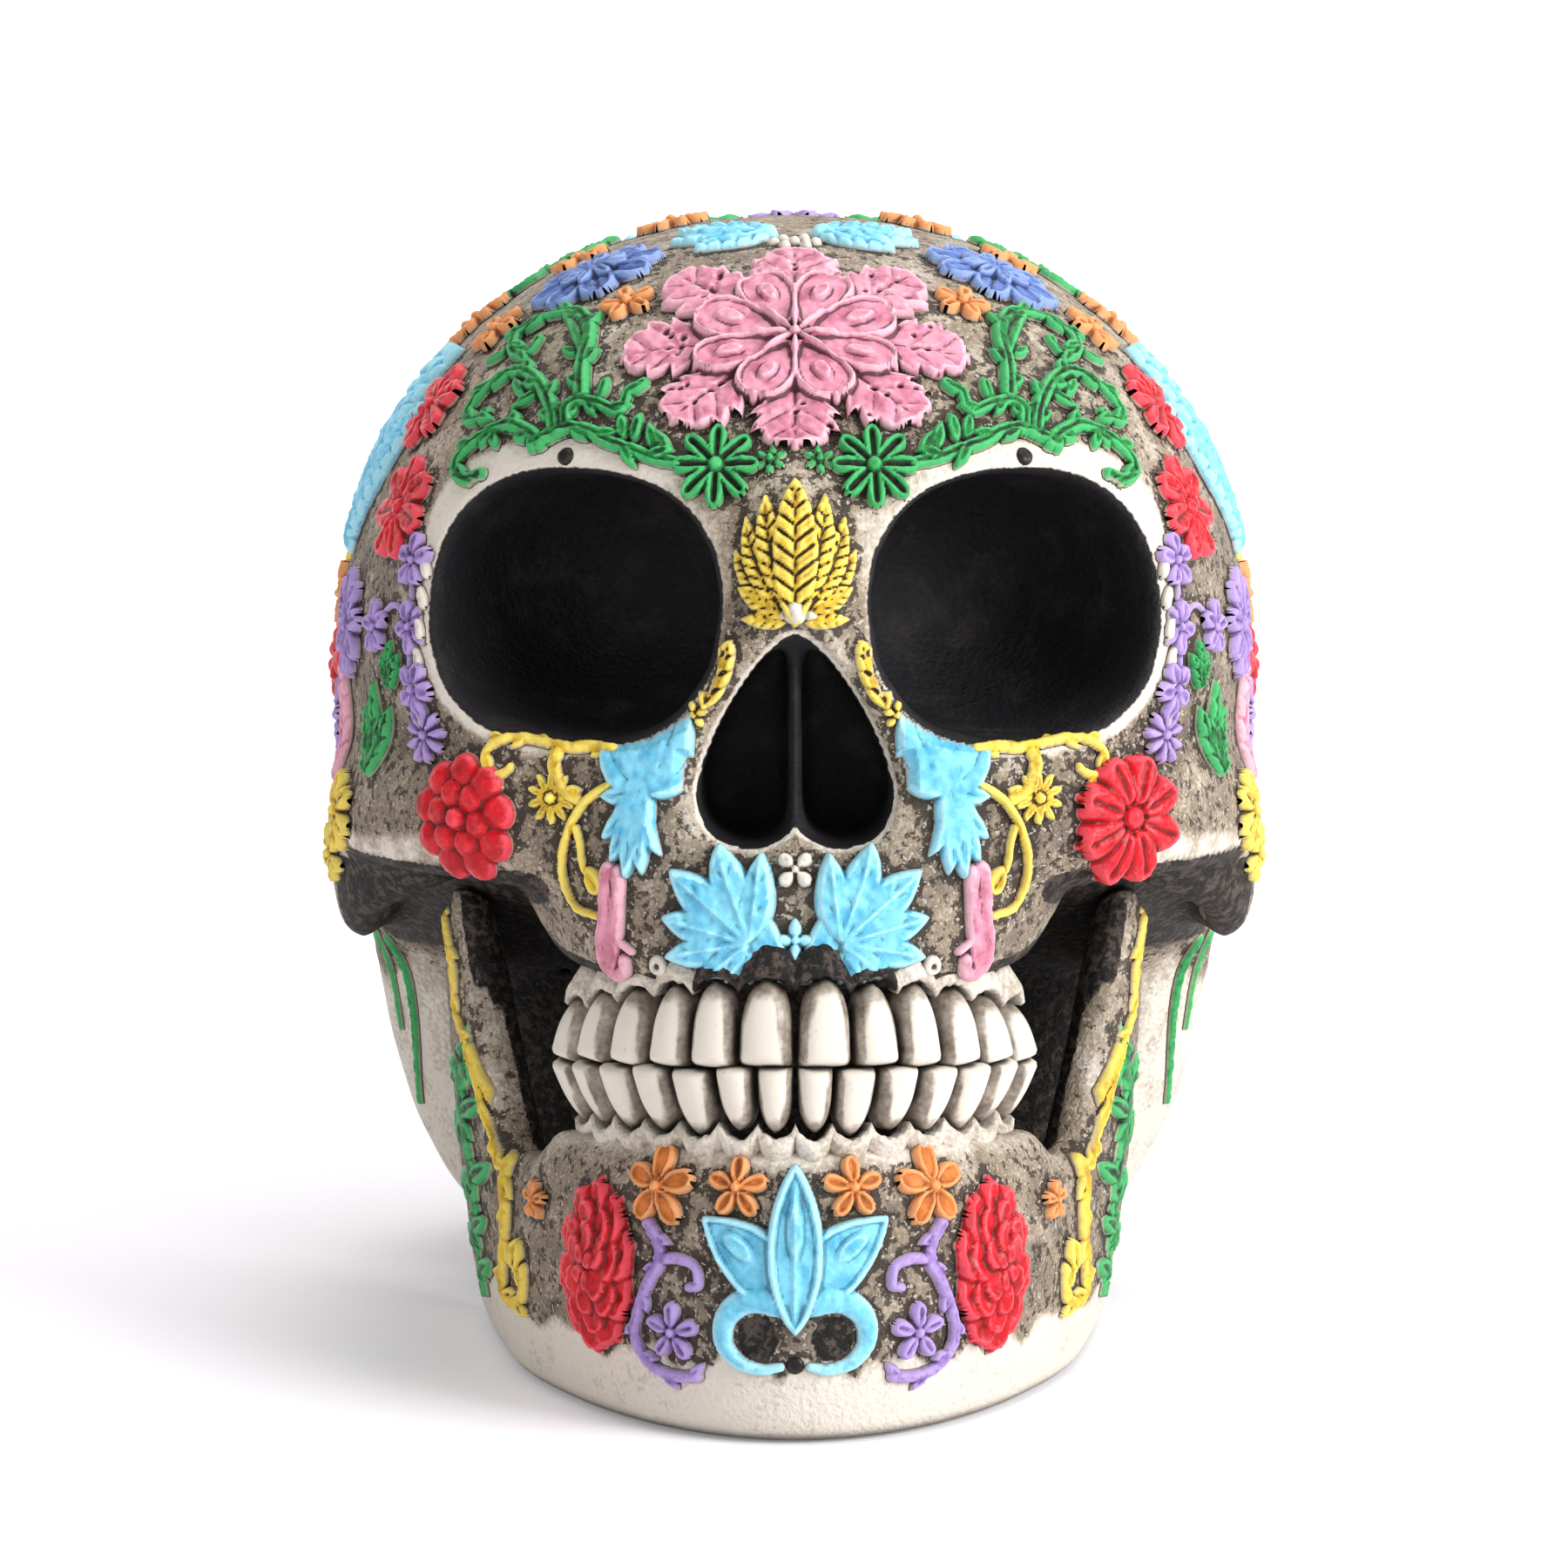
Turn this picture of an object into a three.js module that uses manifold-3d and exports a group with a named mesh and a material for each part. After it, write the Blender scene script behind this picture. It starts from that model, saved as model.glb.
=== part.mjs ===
// Sugar skull: a painted cast-resin skull that stands on a shelf on its jaw and the back of its head.
// Two castings, two rows of teeth and raised motifs that are bonded to the castings one by one.
// Millimetres, +Z up, the face looks along -Y, and the floor is z = 0.
import * as THREE from "three";
import { mergeVertices } from "three/addons/utils/BufferGeometryUtils.js";
import Module from "manifold-3d";

const wasm = await Module();
wasm.setup();

// Clearances
const bondGap = 0.3; // glue line between two bonded pieces
const biteGap = 0.4; // between the upper and the lower teeth

// Braincase: a dome above its widest level and a nape below it, down to a flat foot
const braincaseWidth = 134;
const crownHeight = 163.5;
const widestHeight = 100;
const domeMiddle = 25; // depth at which the dome is widest
const foreheadFront = -66;
const occiputBack = 106;
const napeMiddle = 56; // depth at which the nape is widest
const throatFront = 22; // front of the nape, behind the jaw
const throatFall = 58; // height over which the face side falls back to the throat
const footSink = 4; // the nape's curve would close this far under the floor

// Hollow of the slush-cast braincase, and the pouring hole in its foot
const castWall = 10;
const hollowFront = -4;
const pourHoleWidth = 24;
const pourHoleDepth = 45; // depth of the hole's middle

// Upper jaw and the belt of the cheeks
const cheekTop = 97;
const cheekFloor = 73;
const cheekFront = -64.5;
const cheekHalf = 42;
const palateHeight = 61;
const upperArchHalf = 32.5;
const upperArchFront = -72;
const upperJawBack = -12;
const upperJawPower = 2.8; // the upper jaw keeps its width and draws in late, over the teeth
const beltTuck = 9; // the belt's top edge is drawn in this far, to end inside the braincase
const beltBack = 40; // how far behind its widest place the belt ends
const beltRound = 4; // rounding of its lower edge at the front

// Arches from the cheeks back to the temples
const archSpan = 136.5; // over the two arches, the skull's widest place
const archThickness = 9;
const archDepth = 0; // depth of the widest place
const archTall = 24;
const archHeight = 69;
const archFrontReach = 26;
const archFrontTuck = 15;
const archFrontRise = 12;
const archBackReach = 30;
const archBackTuck = 8;

// Eye sockets
const orbitSpread = 61; // between the centres of the two sockets
const orbitWide = 44;
const orbitTall = 36.5;
const orbitDeep = 32; // from the plane of the opening to the back of the socket
const orbitFront = -55; // depth of the middle of the opening
const orbitInset = 4; // the socket is widest this far behind its opening
const orbitHeight = 111.5;
const orbitYaw = 24; // the sockets open outwards by this angle

// Nose
const noseTop = 110;
const noseFloor = 80.5;
const noseWide = 26.5;
const noseDeep = 17;
const septumThick = 1.8;
const septumInset = 5;
const bridgeWide = 26;
const bridgeTall = 52;
const bridgeDeep = 24;
const bridgeTilt = 9; // degrees
const bridgeInset = 9; // its middle is this far behind the forehead

// Lower jaw: one wall that runs from joint to joint round the chin
const jawHalf = 48;
const jawBack = 19; // depth of the two rear edges
const chinFront = -76;
const jawThick = 13;
const ramusThick = 8.5;
const ramusFlare = 0.09; // outward lean of the jaw's branches, per millimetre of height
const chinTall = 41.5;
const toothRidgeBack = -46; // the ridge under the teeth is level as far back as this
const ridgeFall = 2.6; // the ridge falls by this much from the chin to its rear end
const jawDipTall = 31.5;
const jawDipDepth = -34;
const coronoidHeight = 80; // cut off under the cheek, where the jaw is bonded to it
const coronoidDepth = -12;
const notchHeight = 56;
const notchDepth = 0;
const condyleHeight = 66;
const condyleDepth = 11;
const condyleFall = 8; // the rear edge ends this far below the head of the joint
const jawAngleRise = 9; // the rear corner of the jaw is this far off the floor
const jawAngleLong = 14; // length over which it rises
const jawSole = 3; // the round lower edge is cut flat this far up
const thinningLead = 30; // the wall starts to thin this far in front of the dip
const thinningLong = 50;

// Teeth
const biteHeight = 51.5;
const biteFall = 0.13; // the bite falls towards the back, per millimetre of depth
const upperCrownTall = 11.5;
const toothThick = 6.5;
const toothRowHalf = 34;
const toothRowFront = -71.5; // middle of the front teeth
const toothRowLong = 46;
const gumInset = 1.6; // the bar behind the crowns stands back by this much
const upperToothWidths = [8.0, 8.0, 7.2, 7.4, 8.0, 9.0]; // from the middle to the back
const lowerToothWidths = [6.6, 7.0, 7.4, 7.6, 8.6, 9.6];

// Relief
const reliefRoot = 0.8; // motifs are drawn this far into the casting before their backs are cut
const largeFlower = 6; // a flower with a longer petal than this has a raised heart
const reliefReach = 22; // how far above and below its own plane a motif follows the casting
const reliefUnit = 1; // length of one unit of the motifs' drawings
const foreheadDrawn = 33.75; // the forehead's motifs are drawn for a forehead that rises this far
const domeDrawn = 63.5; // and the wings for a dome that rises this far

// Mesh density
const aroundSteps = 40;
const domeSteps = 9;
const far = 300; // a cutting block larger than the skull

// Powers of the rounded outlines: 2 is an ellipse, and more is squarer
const planFrontPower = 2.6;
const planBackPower = 2.2;
const domeSidePower = 2.15;
const foreheadPower = 2.6;
const occiputPower = 2.2;
const napeSidePower = 3.6;
const napeBackPower = 3.2;
const throatPower = 1.6;
const beltPower = 2.35;

const radians = THREE.MathUtils.degToRad;
const lerp = THREE.MathUtils.lerp;
const ease = (share) => THREE.MathUtils.smoothstep(share, 0, 1);
const at = (x, y, z) => new THREE.Vector3(x, y, z);
const rounded = (value, power) => Math.sign(value) * Math.abs(value) ** (2 / power);
const bulge = (share, power) => (1 - Math.min(1, Math.abs(share)) ** power) ** (1 / power);

// A closed geometry as a solid that can be joined and cut.
function solid(geometry) {
  const bare = new THREE.BufferGeometry();
  bare.setAttribute("position", geometry.getAttribute("position"));
  if (geometry.index) bare.setIndex(geometry.index);
  const merged = mergeVertices(bare, 1e-4);
  const vertProperties = Float32Array.from(merged.attributes.position.array);
  const triVerts = Uint32Array.from(merged.index.array);
  const made = new wasm.Manifold(new wasm.Mesh({ numProp: 3, vertProperties, triVerts }));
  if (made.volume() > 0) return made;
  for (let i = 0; i < triVerts.length; i += 3) {
    [triVerts[i], triVerts[i + 1]] = [triVerts[i + 1], triVerts[i]];
  }
  return new wasm.Manifold(new wasm.Mesh({ numProp: 3, vertProperties, triVerts }));
}

// A skin over rings of equal counts, closed by a fan at each end.
function loft(rings, firstTip, lastTip) {
  const count = rings[0].length;
  const middle = (ring) => ring.reduce((sum, p) => sum.add(p), at(0, 0, 0)).divideScalar(count);
  const points = rings.flat().concat(firstTip ?? middle(rings[0]), lastTip ?? middle(rings.at(-1)));
  const first = points.length - 2;
  const last = points.length - 1;
  const faces = [];
  for (let i = 0; i < count; i++) {
    const next = (i + 1) % count;
    faces.push(first, next, i);
    for (let r = 0; r + 1 < rings.length; r++) {
      const low = r * count;
      const high = low + count;
      faces.push(low + i, low + next, high + i, low + next, high + next, high + i);
    }
    const top = (rings.length - 1) * count;
    faces.push(last, top + i, top + next);
  }
  return new THREE.BufferGeometry().setFromPoints(points).setIndex(faces);
}

// A level outline: front and back reach their own depth from a shared middle.
function level({ half, front, middle, back, z, power = planFrontPower, count = aroundSteps }) {
  return Array.from({ length: count }, (_, i) => {
    const turn = (2 * Math.PI * i) / count;
    const bend = Math.sin(turn) < 0 ? power : planBackPower;
    const reach = Math.sin(turn) < 0 ? middle - front : back - middle;
    return at(half * rounded(Math.cos(turn), bend), middle + reach * rounded(Math.sin(turn), bend), z);
  });
}

function braincase(grow, count = aroundSteps, steps = domeSteps) {
  const half = braincaseWidth / 2 + grow;
  const front = foreheadFront - grow;
  const back = occiputBack + grow;
  const dome = crownHeight + grow - widestHeight;
  const levels = [];
  for (let i = 1; i <= steps; i++) {
    const rise = Math.cos((Math.PI / 2) * (i / steps));
    levels.push(
      level({
        half: half * bulge(rise, domeSidePower),
        front: lerp(domeMiddle, front, bulge(rise, foreheadPower)),
        middle: domeMiddle,
        back: lerp(domeMiddle, back, bulge(rise, occiputPower)),
        z: widestHeight + dome * rise,
        count,
      }),
    );
  }
  for (let i = 1; i <= steps; i++) {
    const fall = widestHeight * Math.sin((Math.PI / 2) * (i / steps));
    const share = fall / (widestHeight + footSink);
    const recess = ease(Math.min(1, fall / throatFall)) ** throatPower;
    levels.push(
      level({
        half: half * bulge(share, napeSidePower),
        front: lerp(front, throatFront - grow, recess),
        middle: lerp(domeMiddle, napeMiddle, recess),
        back: lerp(domeMiddle, back, bulge(share, napeBackPower)),
        z: widestHeight - fall,
        count,
      }),
    );
  }
  return solid(loft(levels, at(0, domeMiddle, crownHeight + grow)));
}

function upperJaw(grow) {
  const steps = 5;
  const levels = Array.from({ length: steps + 1 }, (_, i) => {
    const share = i / steps;
    const front = lerp(cheekFront, upperArchFront, share) - grow;
    return level({
      half: lerp(cheekHalf, upperArchHalf, share ** upperJawPower) + grow,
      front,
      middle: lerp(front, upperJawBack, 0.6),
      back: upperJawBack + grow,
      z: lerp(cheekTop, palateHeight - grow, share),
      power: 2.2,
      count: 30,
    });
  });
  return solid(loft(levels));
}

// The belt of the face from the rims of the sockets down to the cheeks, as wide as the arches.
function cheekBelt(grow) {
  const steps = 4;
  const levels = Array.from({ length: steps + 1 }, (_, i) => {
    const share = i / steps;
    return level({
      half: archSpan / 2 - beltTuck * (1 - share) ** 2 - (beltRound / 3) * share ** 6 + grow,
      front: cheekFront + beltRound * share ** 6 - grow,
      middle: archDepth,
      back: archDepth + beltBack,
      z: lerp(cheekTop, cheekFloor - grow, share),
      power: beltPower,
    });
  });
  return solid(loft(levels));
}

// The arch that runs from the cheek back into the temple; side is 1 or -1.
function cheekArch(side, grow) {
  const outer = archSpan / 2 - archThickness / 2;
  const ahead = (share) => [archFrontTuck * share ** 2, -archFrontReach * share, archFrontRise * share];
  const behind = (share) => [archBackTuck * share ** 2, archBackReach * share, 0];
  const path = new THREE.CatmullRomCurve3(
    [ahead(1), ahead(0.5), ahead(0), behind(0.5), behind(1)].map(([tuck, reach, rise]) =>
      at(outer - tuck, archDepth + reach, archHeight + rise),
    ),
  );
  const stations = 7;
  const corners = 8;
  const rings = Array.from({ length: stations + 1 }, (_, s) => {
    const share = s / stations;
    const centre = path.getPoint(share);
    const along = path.getTangent(share);
    const outward = at(along.y, -along.x, 0).normalize();
    return Array.from({ length: corners }, (_, c) => {
      const turn = (2 * Math.PI * c) / corners;
      const across = (archThickness / 2 + grow) * rounded(Math.cos(turn), 2.6);
      const point = centre.clone().addScaledVector(outward, across);
      point.z += (archTall / 2 + grow) * rounded(Math.sin(turn), 2.6);
      return at(side * point.x, point.y, point.z);
    });
  });
  return solid(loft(rings));
}

// A rounded ball that is squarer than an ellipsoid when power is over 2.
function softBall(wide, deep, tall, power, segments) {
  const ball = new THREE.SphereGeometry(1, segments, segments * 0.6);
  const spots = ball.attributes.position;
  for (let i = 0; i < spots.count; i++) {
    spots.setXYZ(
      i,
      (wide / 2) * rounded(spots.getX(i), power),
      (deep / 2) * rounded(spots.getY(i), power),
      (tall / 2) * rounded(spots.getZ(i), power),
    );
  }
  return ball;
}

function orbit(side) {
  const cup = softBall(orbitWide, 2 * (orbitDeep - orbitInset), orbitTall, 2.3, 18);
  cup.translate(0, orbitInset, 0);
  cup.rotateX(radians(4));
  cup.rotateZ(radians(side * orbitYaw));
  cup.translate((side * orbitSpread) / 2, orbitFront, orbitHeight);
  return solid(cup);
}

// Pear-shaped opening of the nose, seen from the front.
function pearShape() {
  const half = noseWide / 2;
  const waist = lerp(noseFloor, noseTop, 0.24);
  const spine = noseFloor + 2.2;
  const pear = new THREE.Shape();
  pear.moveTo(0, noseTop);
  pear.bezierCurveTo(half * 0.3, noseTop - 2, half * 0.9, waist + 8, half, waist);
  pear.bezierCurveTo(half, noseFloor - 1, half * 0.4, noseFloor - 2, 0, spine);
  pear.bezierCurveTo(-half * 0.4, noseFloor - 2, -half, noseFloor - 1, -half, waist);
  pear.bezierCurveTo(-half * 0.9, waist + 8, -half * 0.3, noseTop - 2, 0, noseTop);
  return pear;
}

function noseCut(fromDepth, toDepth) {
  const cut = new THREE.ExtrudeGeometry(pearShape(), {
    depth: toDepth - fromDepth,
    bevelEnabled: false,
    curveSegments: 8,
  });
  cut.rotateX(Math.PI / 2);
  cut.translate(0, toDepth, 0);
  return solid(cut);
}

function block(wide, deep, tall, x, y, z) {
  return solid(new THREE.BoxGeometry(wide, deep, tall).translate(x, y, z));
}

// The outside of the skull casting without its openings, grown by a clearance where it cuts a neighbour.
function cranialForm(grow) {
  const bridge = softBall(bridgeWide + 2 * grow, bridgeDeep + 2 * grow, bridgeTall + 2 * grow, 2, 12);
  bridge.rotateX(radians(-bridgeTilt));
  bridge.translate(0, foreheadFront + bridgeInset, orbitHeight);
  return braincase(grow)
    .add(upperJaw(grow))
    .add(cheekBelt(grow))
    .add(cheekArch(1, grow))
    .add(cheekArch(-1, grow))
    .add(solid(bridge));
}

// The hollow keeps the wall's thickness all round and stops short of the sockets.
function hollow() {
  const room = braincase(-castWall, 18, 5)
    .subtract(block(far, far, 2 * far, 0, hollowFront - far / 2, 0))
    .subtract(block(far, far, 2 * castWall, 0, 0, 0));
  const hole = new THREE.CylinderGeometry(pourHoleWidth / 2, pourHoleWidth / 2, 3 * castWall, 24);
  hole.rotateX(Math.PI / 2);
  hole.translate(0, pourHoleDepth, castWall);
  return room.add(solid(hole));
}

function cranium() {
  const septumStart = (cheekFront + upperArchFront) / 2 - 2 + septumInset;
  const septum = block(septumThick, far, far, 0, septumStart + far / 2, noseTop);
  return cranialForm(0)
    .subtract(orbit(1))
    .subtract(orbit(-1))
    .subtract(noseCut(-far / 2, septumStart + noseDeep).subtract(septum))
    .subtract(hollow());
}

// Height of the jaw's upper edge at a depth: tooth ridge, dip, front tip, notch and head of the joint.
function jawEdge(depth) {
  const marks = [
    [chinFront, chinTall],
    [toothRidgeBack, chinTall - ridgeFall],
    [jawDipDepth, jawDipTall],
    [coronoidDepth, coronoidHeight],
    [notchDepth, notchHeight],
    [condyleDepth, condyleHeight],
    [jawBack, condyleHeight - condyleFall],
  ];
  const next = Math.max(1, marks.findIndex((mark) => mark[0] >= depth - 1e-6));
  const [fromDepth, fromHeight] = marks[next - 1];
  const [toDepth, toHeight] = marks[next];
  return lerp(fromHeight, toHeight, ease((depth - fromDepth) / (toDepth - fromDepth)));
}

// The jaw wall swept along half an ellipse, from one rear edge round the chin to the other.
function jawBody(grow) {
  const stations = 34;
  const corners = 10;
  const rings = Array.from({ length: stations + 1 }, (_, s) => {
    const turn = lerp(-Math.PI / 2, Math.PI / 2, s / stations);
    const foot = at(jawHalf * Math.sin(turn), jawBack - (jawBack - chinFront) * Math.cos(turn), 0);
    const outward = at(Math.sin(turn) / jawHalf, -Math.cos(turn) / (jawBack - chinFront), 0).normalize();
    const branch = ease((foot.y - jawDipDepth + thinningLead) / thinningLong);
    const thick = lerp(jawThick, ramusThick, branch) + 2 * grow;
    const edge = jawEdge(foot.y) + grow;
    foot.addScaledVector(outward, grow);
    const base = lerp(-jawSole, jawAngleRise, ease((foot.y - jawBack + jawAngleLong) / jawAngleLong));
    return Array.from({ length: corners }, (_, c) => {
      const spin = (2 * Math.PI * c) / corners;
      const rise = 0.5 + 0.5 * rounded(Math.sin(spin), 3);
      const height = lerp(base, edge, rise);
      const offset = (thick / 2) * (rounded(Math.cos(spin), 3) - 1) + branch * ramusFlare * height;
      const point = foot.clone().addScaledVector(outward, offset);
      point.z = height;
      return point;
    });
  });
  return solid(loft(rings));
}

function mandible(cranialClearance) {
  const floor = block(far, far, far, 0, 0, -far / 2);
  return jawBody(0).subtract(cranialClearance).subtract(floor);
}

// The line that the teeth stand on, from the middle to one end.
const toothLine = new THREE.EllipseCurve(
  0,
  toothRowFront + toothRowLong,
  toothRowHalf,
  toothRowLong,
  -Math.PI / 2,
  0,
);

// One row of crowns on a bar; root and bite are the heights of the gum end and the front teeth's edge.
function toothRow(widths, root, bite) {
  const edgeAt = (spot) => bite - biteFall * (spot.y - toothRowFront);
  const lineLength = toothLine.getLength();
  const rowLength = widths.reduce((sum, wide) => sum + wide, 0);
  const stations = 10;
  const bar = Array.from({ length: stations + 1 }, (_, s) => {
    const along = ((s / stations) * 2 - 1) * (rowLength - 1);
    const spot = toothLine.getPointAt(Math.abs(along) / lineLength);
    const ahead = toothLine.getTangentAt(Math.abs(along) / lineLength);
    const half = toothThick / 2 - gumInset;
    const barEdge = lerp(root, edgeAt(spot), 0.7);
    return [[half, root], [-half, root], [-half, barEdge], [half, barEdge]].map(([out, z]) => {
      const x = spot.x + ahead.y * out;
      return at(Math.sign(along) * x, spot.y - ahead.x * out, z);
    });
  });
  let row = solid(loft(bar));
  for (const side of [1, -1]) {
    let walked = 0;
    for (const wide of widths) {
      const middle = (walked + wide / 2) / lineLength;
      walked += wide;
      const spot = toothLine.getPointAt(middle);
      const ahead = toothLine.getTangentAt(middle);
      const edge = edgeAt(spot);
      const crown = softBall(wide * 0.95, toothThick, Math.abs(edge - root), 2.8, 7);
      crown.rotateZ(Math.atan2(ahead.y, ahead.x) * side);
      crown.translate(side * spot.x, spot.y, (root + edge) / 2);
      row = row.add(solid(crown));
    }
  }
  return row;
}

// The surface that a motif lies on: a ray finds its middle, and the motif's own plane is set there.
class Ground {
  constructor(carrier, clearance) {
    this.skin = new THREE.Mesh(meshOf(carrier), new THREE.MeshBasicMaterial({ side: THREE.DoubleSide }));
    this.clearance = clearance;
    this.caster = new THREE.Raycaster();
  }

  // view is front, side or top; the two numbers are the place as seen from there.
  spot(view, across, up, side, unit) {
    const views = {
      front: [at(side * across, -400, up), at(0, 1, 0)],
      side: [at(side * 400, across, up), at(-side, 0, 0)],
      top: [at(side * across, up, 400), at(0, 0, -1)],
    };
    this.caster.set(...views[view]);
    const hit = this.caster.intersectObject(this.skin)[0];
    const out = hit.normal.clone().normalize();
    const right = at(0, 0, 1).cross(out).normalize();
    return { middle: hit.point, out, right, rise: out.clone().cross(right), unit };
  }

  // A point of the motif's drawing, laid on the surface and lifted off it.
  lay(spot, u, v, lift) {
    const { middle, out, right, rise, unit } = spot;
    const from = middle.clone().addScaledVector(right, u * unit).addScaledVector(rise, v * unit);
    this.caster.set(from.addScaledVector(out, reliefReach), out.clone().negate());
    const hit = this.caster.intersectObject(this.skin)[0];
    const drop = hit ? Math.min(hit.distance, 2 * reliefReach) : 2 * reliefReach;
    return from.addScaledVector(out, lift * unit - drop);
  }
}

// Widths of a stroke along its length, as a share of its full width.
const shapes = {
  leaf: (s) => 0.12 + 0.88 * Math.sin(Math.PI * s ** 0.8),
  vine: (s) => 1 - 0.6 * s,
};

// A raised stroke with a crest along its middle: leaves, vines and scrolls.
function stroke(line, wide, tall, shape = "leaf", steps = 3) {
  return (ground, spot, side) => {
    const curve = new THREE.CatmullRomCurve3(line.map(([u, v]) => at(side * u, v, 0)));
    const rings = Array.from({ length: steps + 1 }, (_, i) => {
      const here = curve.getPoint(i / steps);
      const ahead = curve.getTangent(i / steps);
      const share = shapes[shape](i / steps);
      return [[-1, -reliefRoot], [0, tall * (0.5 + 0.5 * share)], [1, -reliefRoot]].map(([out, lift]) => {
        const half = (out * share * wide) / 2;
        return ground.lay(spot, here.x - ahead.y * half, here.y + ahead.x * half, lift);
      });
    });
    return solid(loft(rings));
  };
}

// A flower head: a scalloped outline that rises to a rim of petals and, on a large one, a raised heart.
function rosette(u, v, petals, reach, tall, notch = 0.62, stretch = 1) {
  return (ground, spot, side) => {
    const large = reach > largeFlower;
    const count = petals * (large ? 4 : 2);
    const ring = (share, lift) =>
      Array.from({ length: count }, (_, i) => {
        const turn = (2 * Math.PI * i) / count;
        const scallop = lerp(notch, 1, Math.abs(Math.cos((petals * turn) / 2)) ** 0.6);
        const radius = reach * share * scallop;
        const across = side * (u + radius * Math.sin(turn));
        return ground.lay(spot, across, v + stretch * radius * Math.cos(turn), lift);
      });
    const heart = ground.lay(spot, side * u, v, tall);
    const root = ground.lay(spot, side * u, v, -reliefRoot);
    const rings = [ring(1, -reliefRoot), ring(0.88, tall * 0.75)];
    if (large) rings.push(ring(0.35, tall * 0.6));
    return solid(loft(rings, root, heart));
  };
}

// A line that winds about a middle from one radius to another.
function curl(u, v, fromAngle, toAngle, fromRadius, toRadius) {
  return Array.from({ length: 6 }, (_, i) => {
    const turn = radians(lerp(fromAngle, toAngle, i / 5));
    const radius = lerp(fromRadius, toRadius, i / 5);
    return [u + radius * Math.cos(turn), v + radius * Math.sin(turn)];
  });
}

// A spray of leaves that fan out from one point.
function fan(u, v, fromAngle, toAngle, count, long, wide, tall) {
  return Array.from({ length: count }, (_, i) => {
    const share = i / (count - 1);
    const turn = radians(lerp(fromAngle, toAngle, share));
    const reach = long * (1 - 0.35 * Math.abs(2 * share - 1));
    const tip = [u + reach * Math.cos(turn), v + reach * Math.sin(turn)];
    return stroke([[u, v], tip], wide, tall, "leaf", long < 18 ? 2 : 3);
  });
}

// Heights that the relief is set out from
const browHeight = orbitHeight + orbitTall / 2;
const domeRise = crownHeight - widestHeight;
const wingHeight = widestHeight + 0.47 * domeRise;
const cheekHeight = (cheekTop + cheekFloor) / 2;
const lipHeight = (palateHeight + noseFloor) / 2;

// A higher dome is steeper too, so its motifs grow by less than its height does.
const fitted = (share) => reliefUnit * Math.min(share, Math.sqrt(share));
const foreheadUnit = fitted((crownHeight - browHeight) / foreheadDrawn);
const domeUnit = fitted(domeRise / domeDrawn);

const pink = 0xe08faf;
const skyBlue = 0x6cc5e8;
const royalBlue = 0x4a66b5;
const green = 0x22a84f;
const red = 0xd92030;
const orange = 0xe0802b;
const yellow = 0xe3bf33;
const lilac = 0x9a7ccb;

// The relief, motif by motif: its colour, the view and place it is set out in, and its strokes.
const singleMotifs = [
  {
    name: "forehead_flower",
    colour: pink,
    place: ["front", 0, crownHeight - 14.5 * foreheadUnit],
    unit: foreheadUnit,
    strokes: [rosette(0, 0, 8, 22.5, 1.8, 0.66), rosette(0, 0, 8, 14.5, 3.4, 0.7)],
  },
  {
    name: "nose_plume",
    colour: yellow,
    place: ["front", 0, noseTop + 2],
    strokes: fan(0, 0, 25, 155, 7, 18, 6.5, 1.7),
  },
  {
    name: "chin_lotus",
    colour: skyBlue,
    place: ["front", 0, chinTall - 19.5],
    onJaw: true,
    strokes: [
      ...fan(0, -4, 32, 148, 3, 21, 11, 2.2),
      stroke(curl(5, -7, 100, -80, 4.5, 3.5), 3.4, 2, "vine", 5),
      stroke(curl(-5, -7, 80, 260, 4.5, 3.5), 3.4, 2, "vine", 5),
      stroke([[0, -12], [0, -1]], 6.5, 2),
    ],
  },
];

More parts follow.
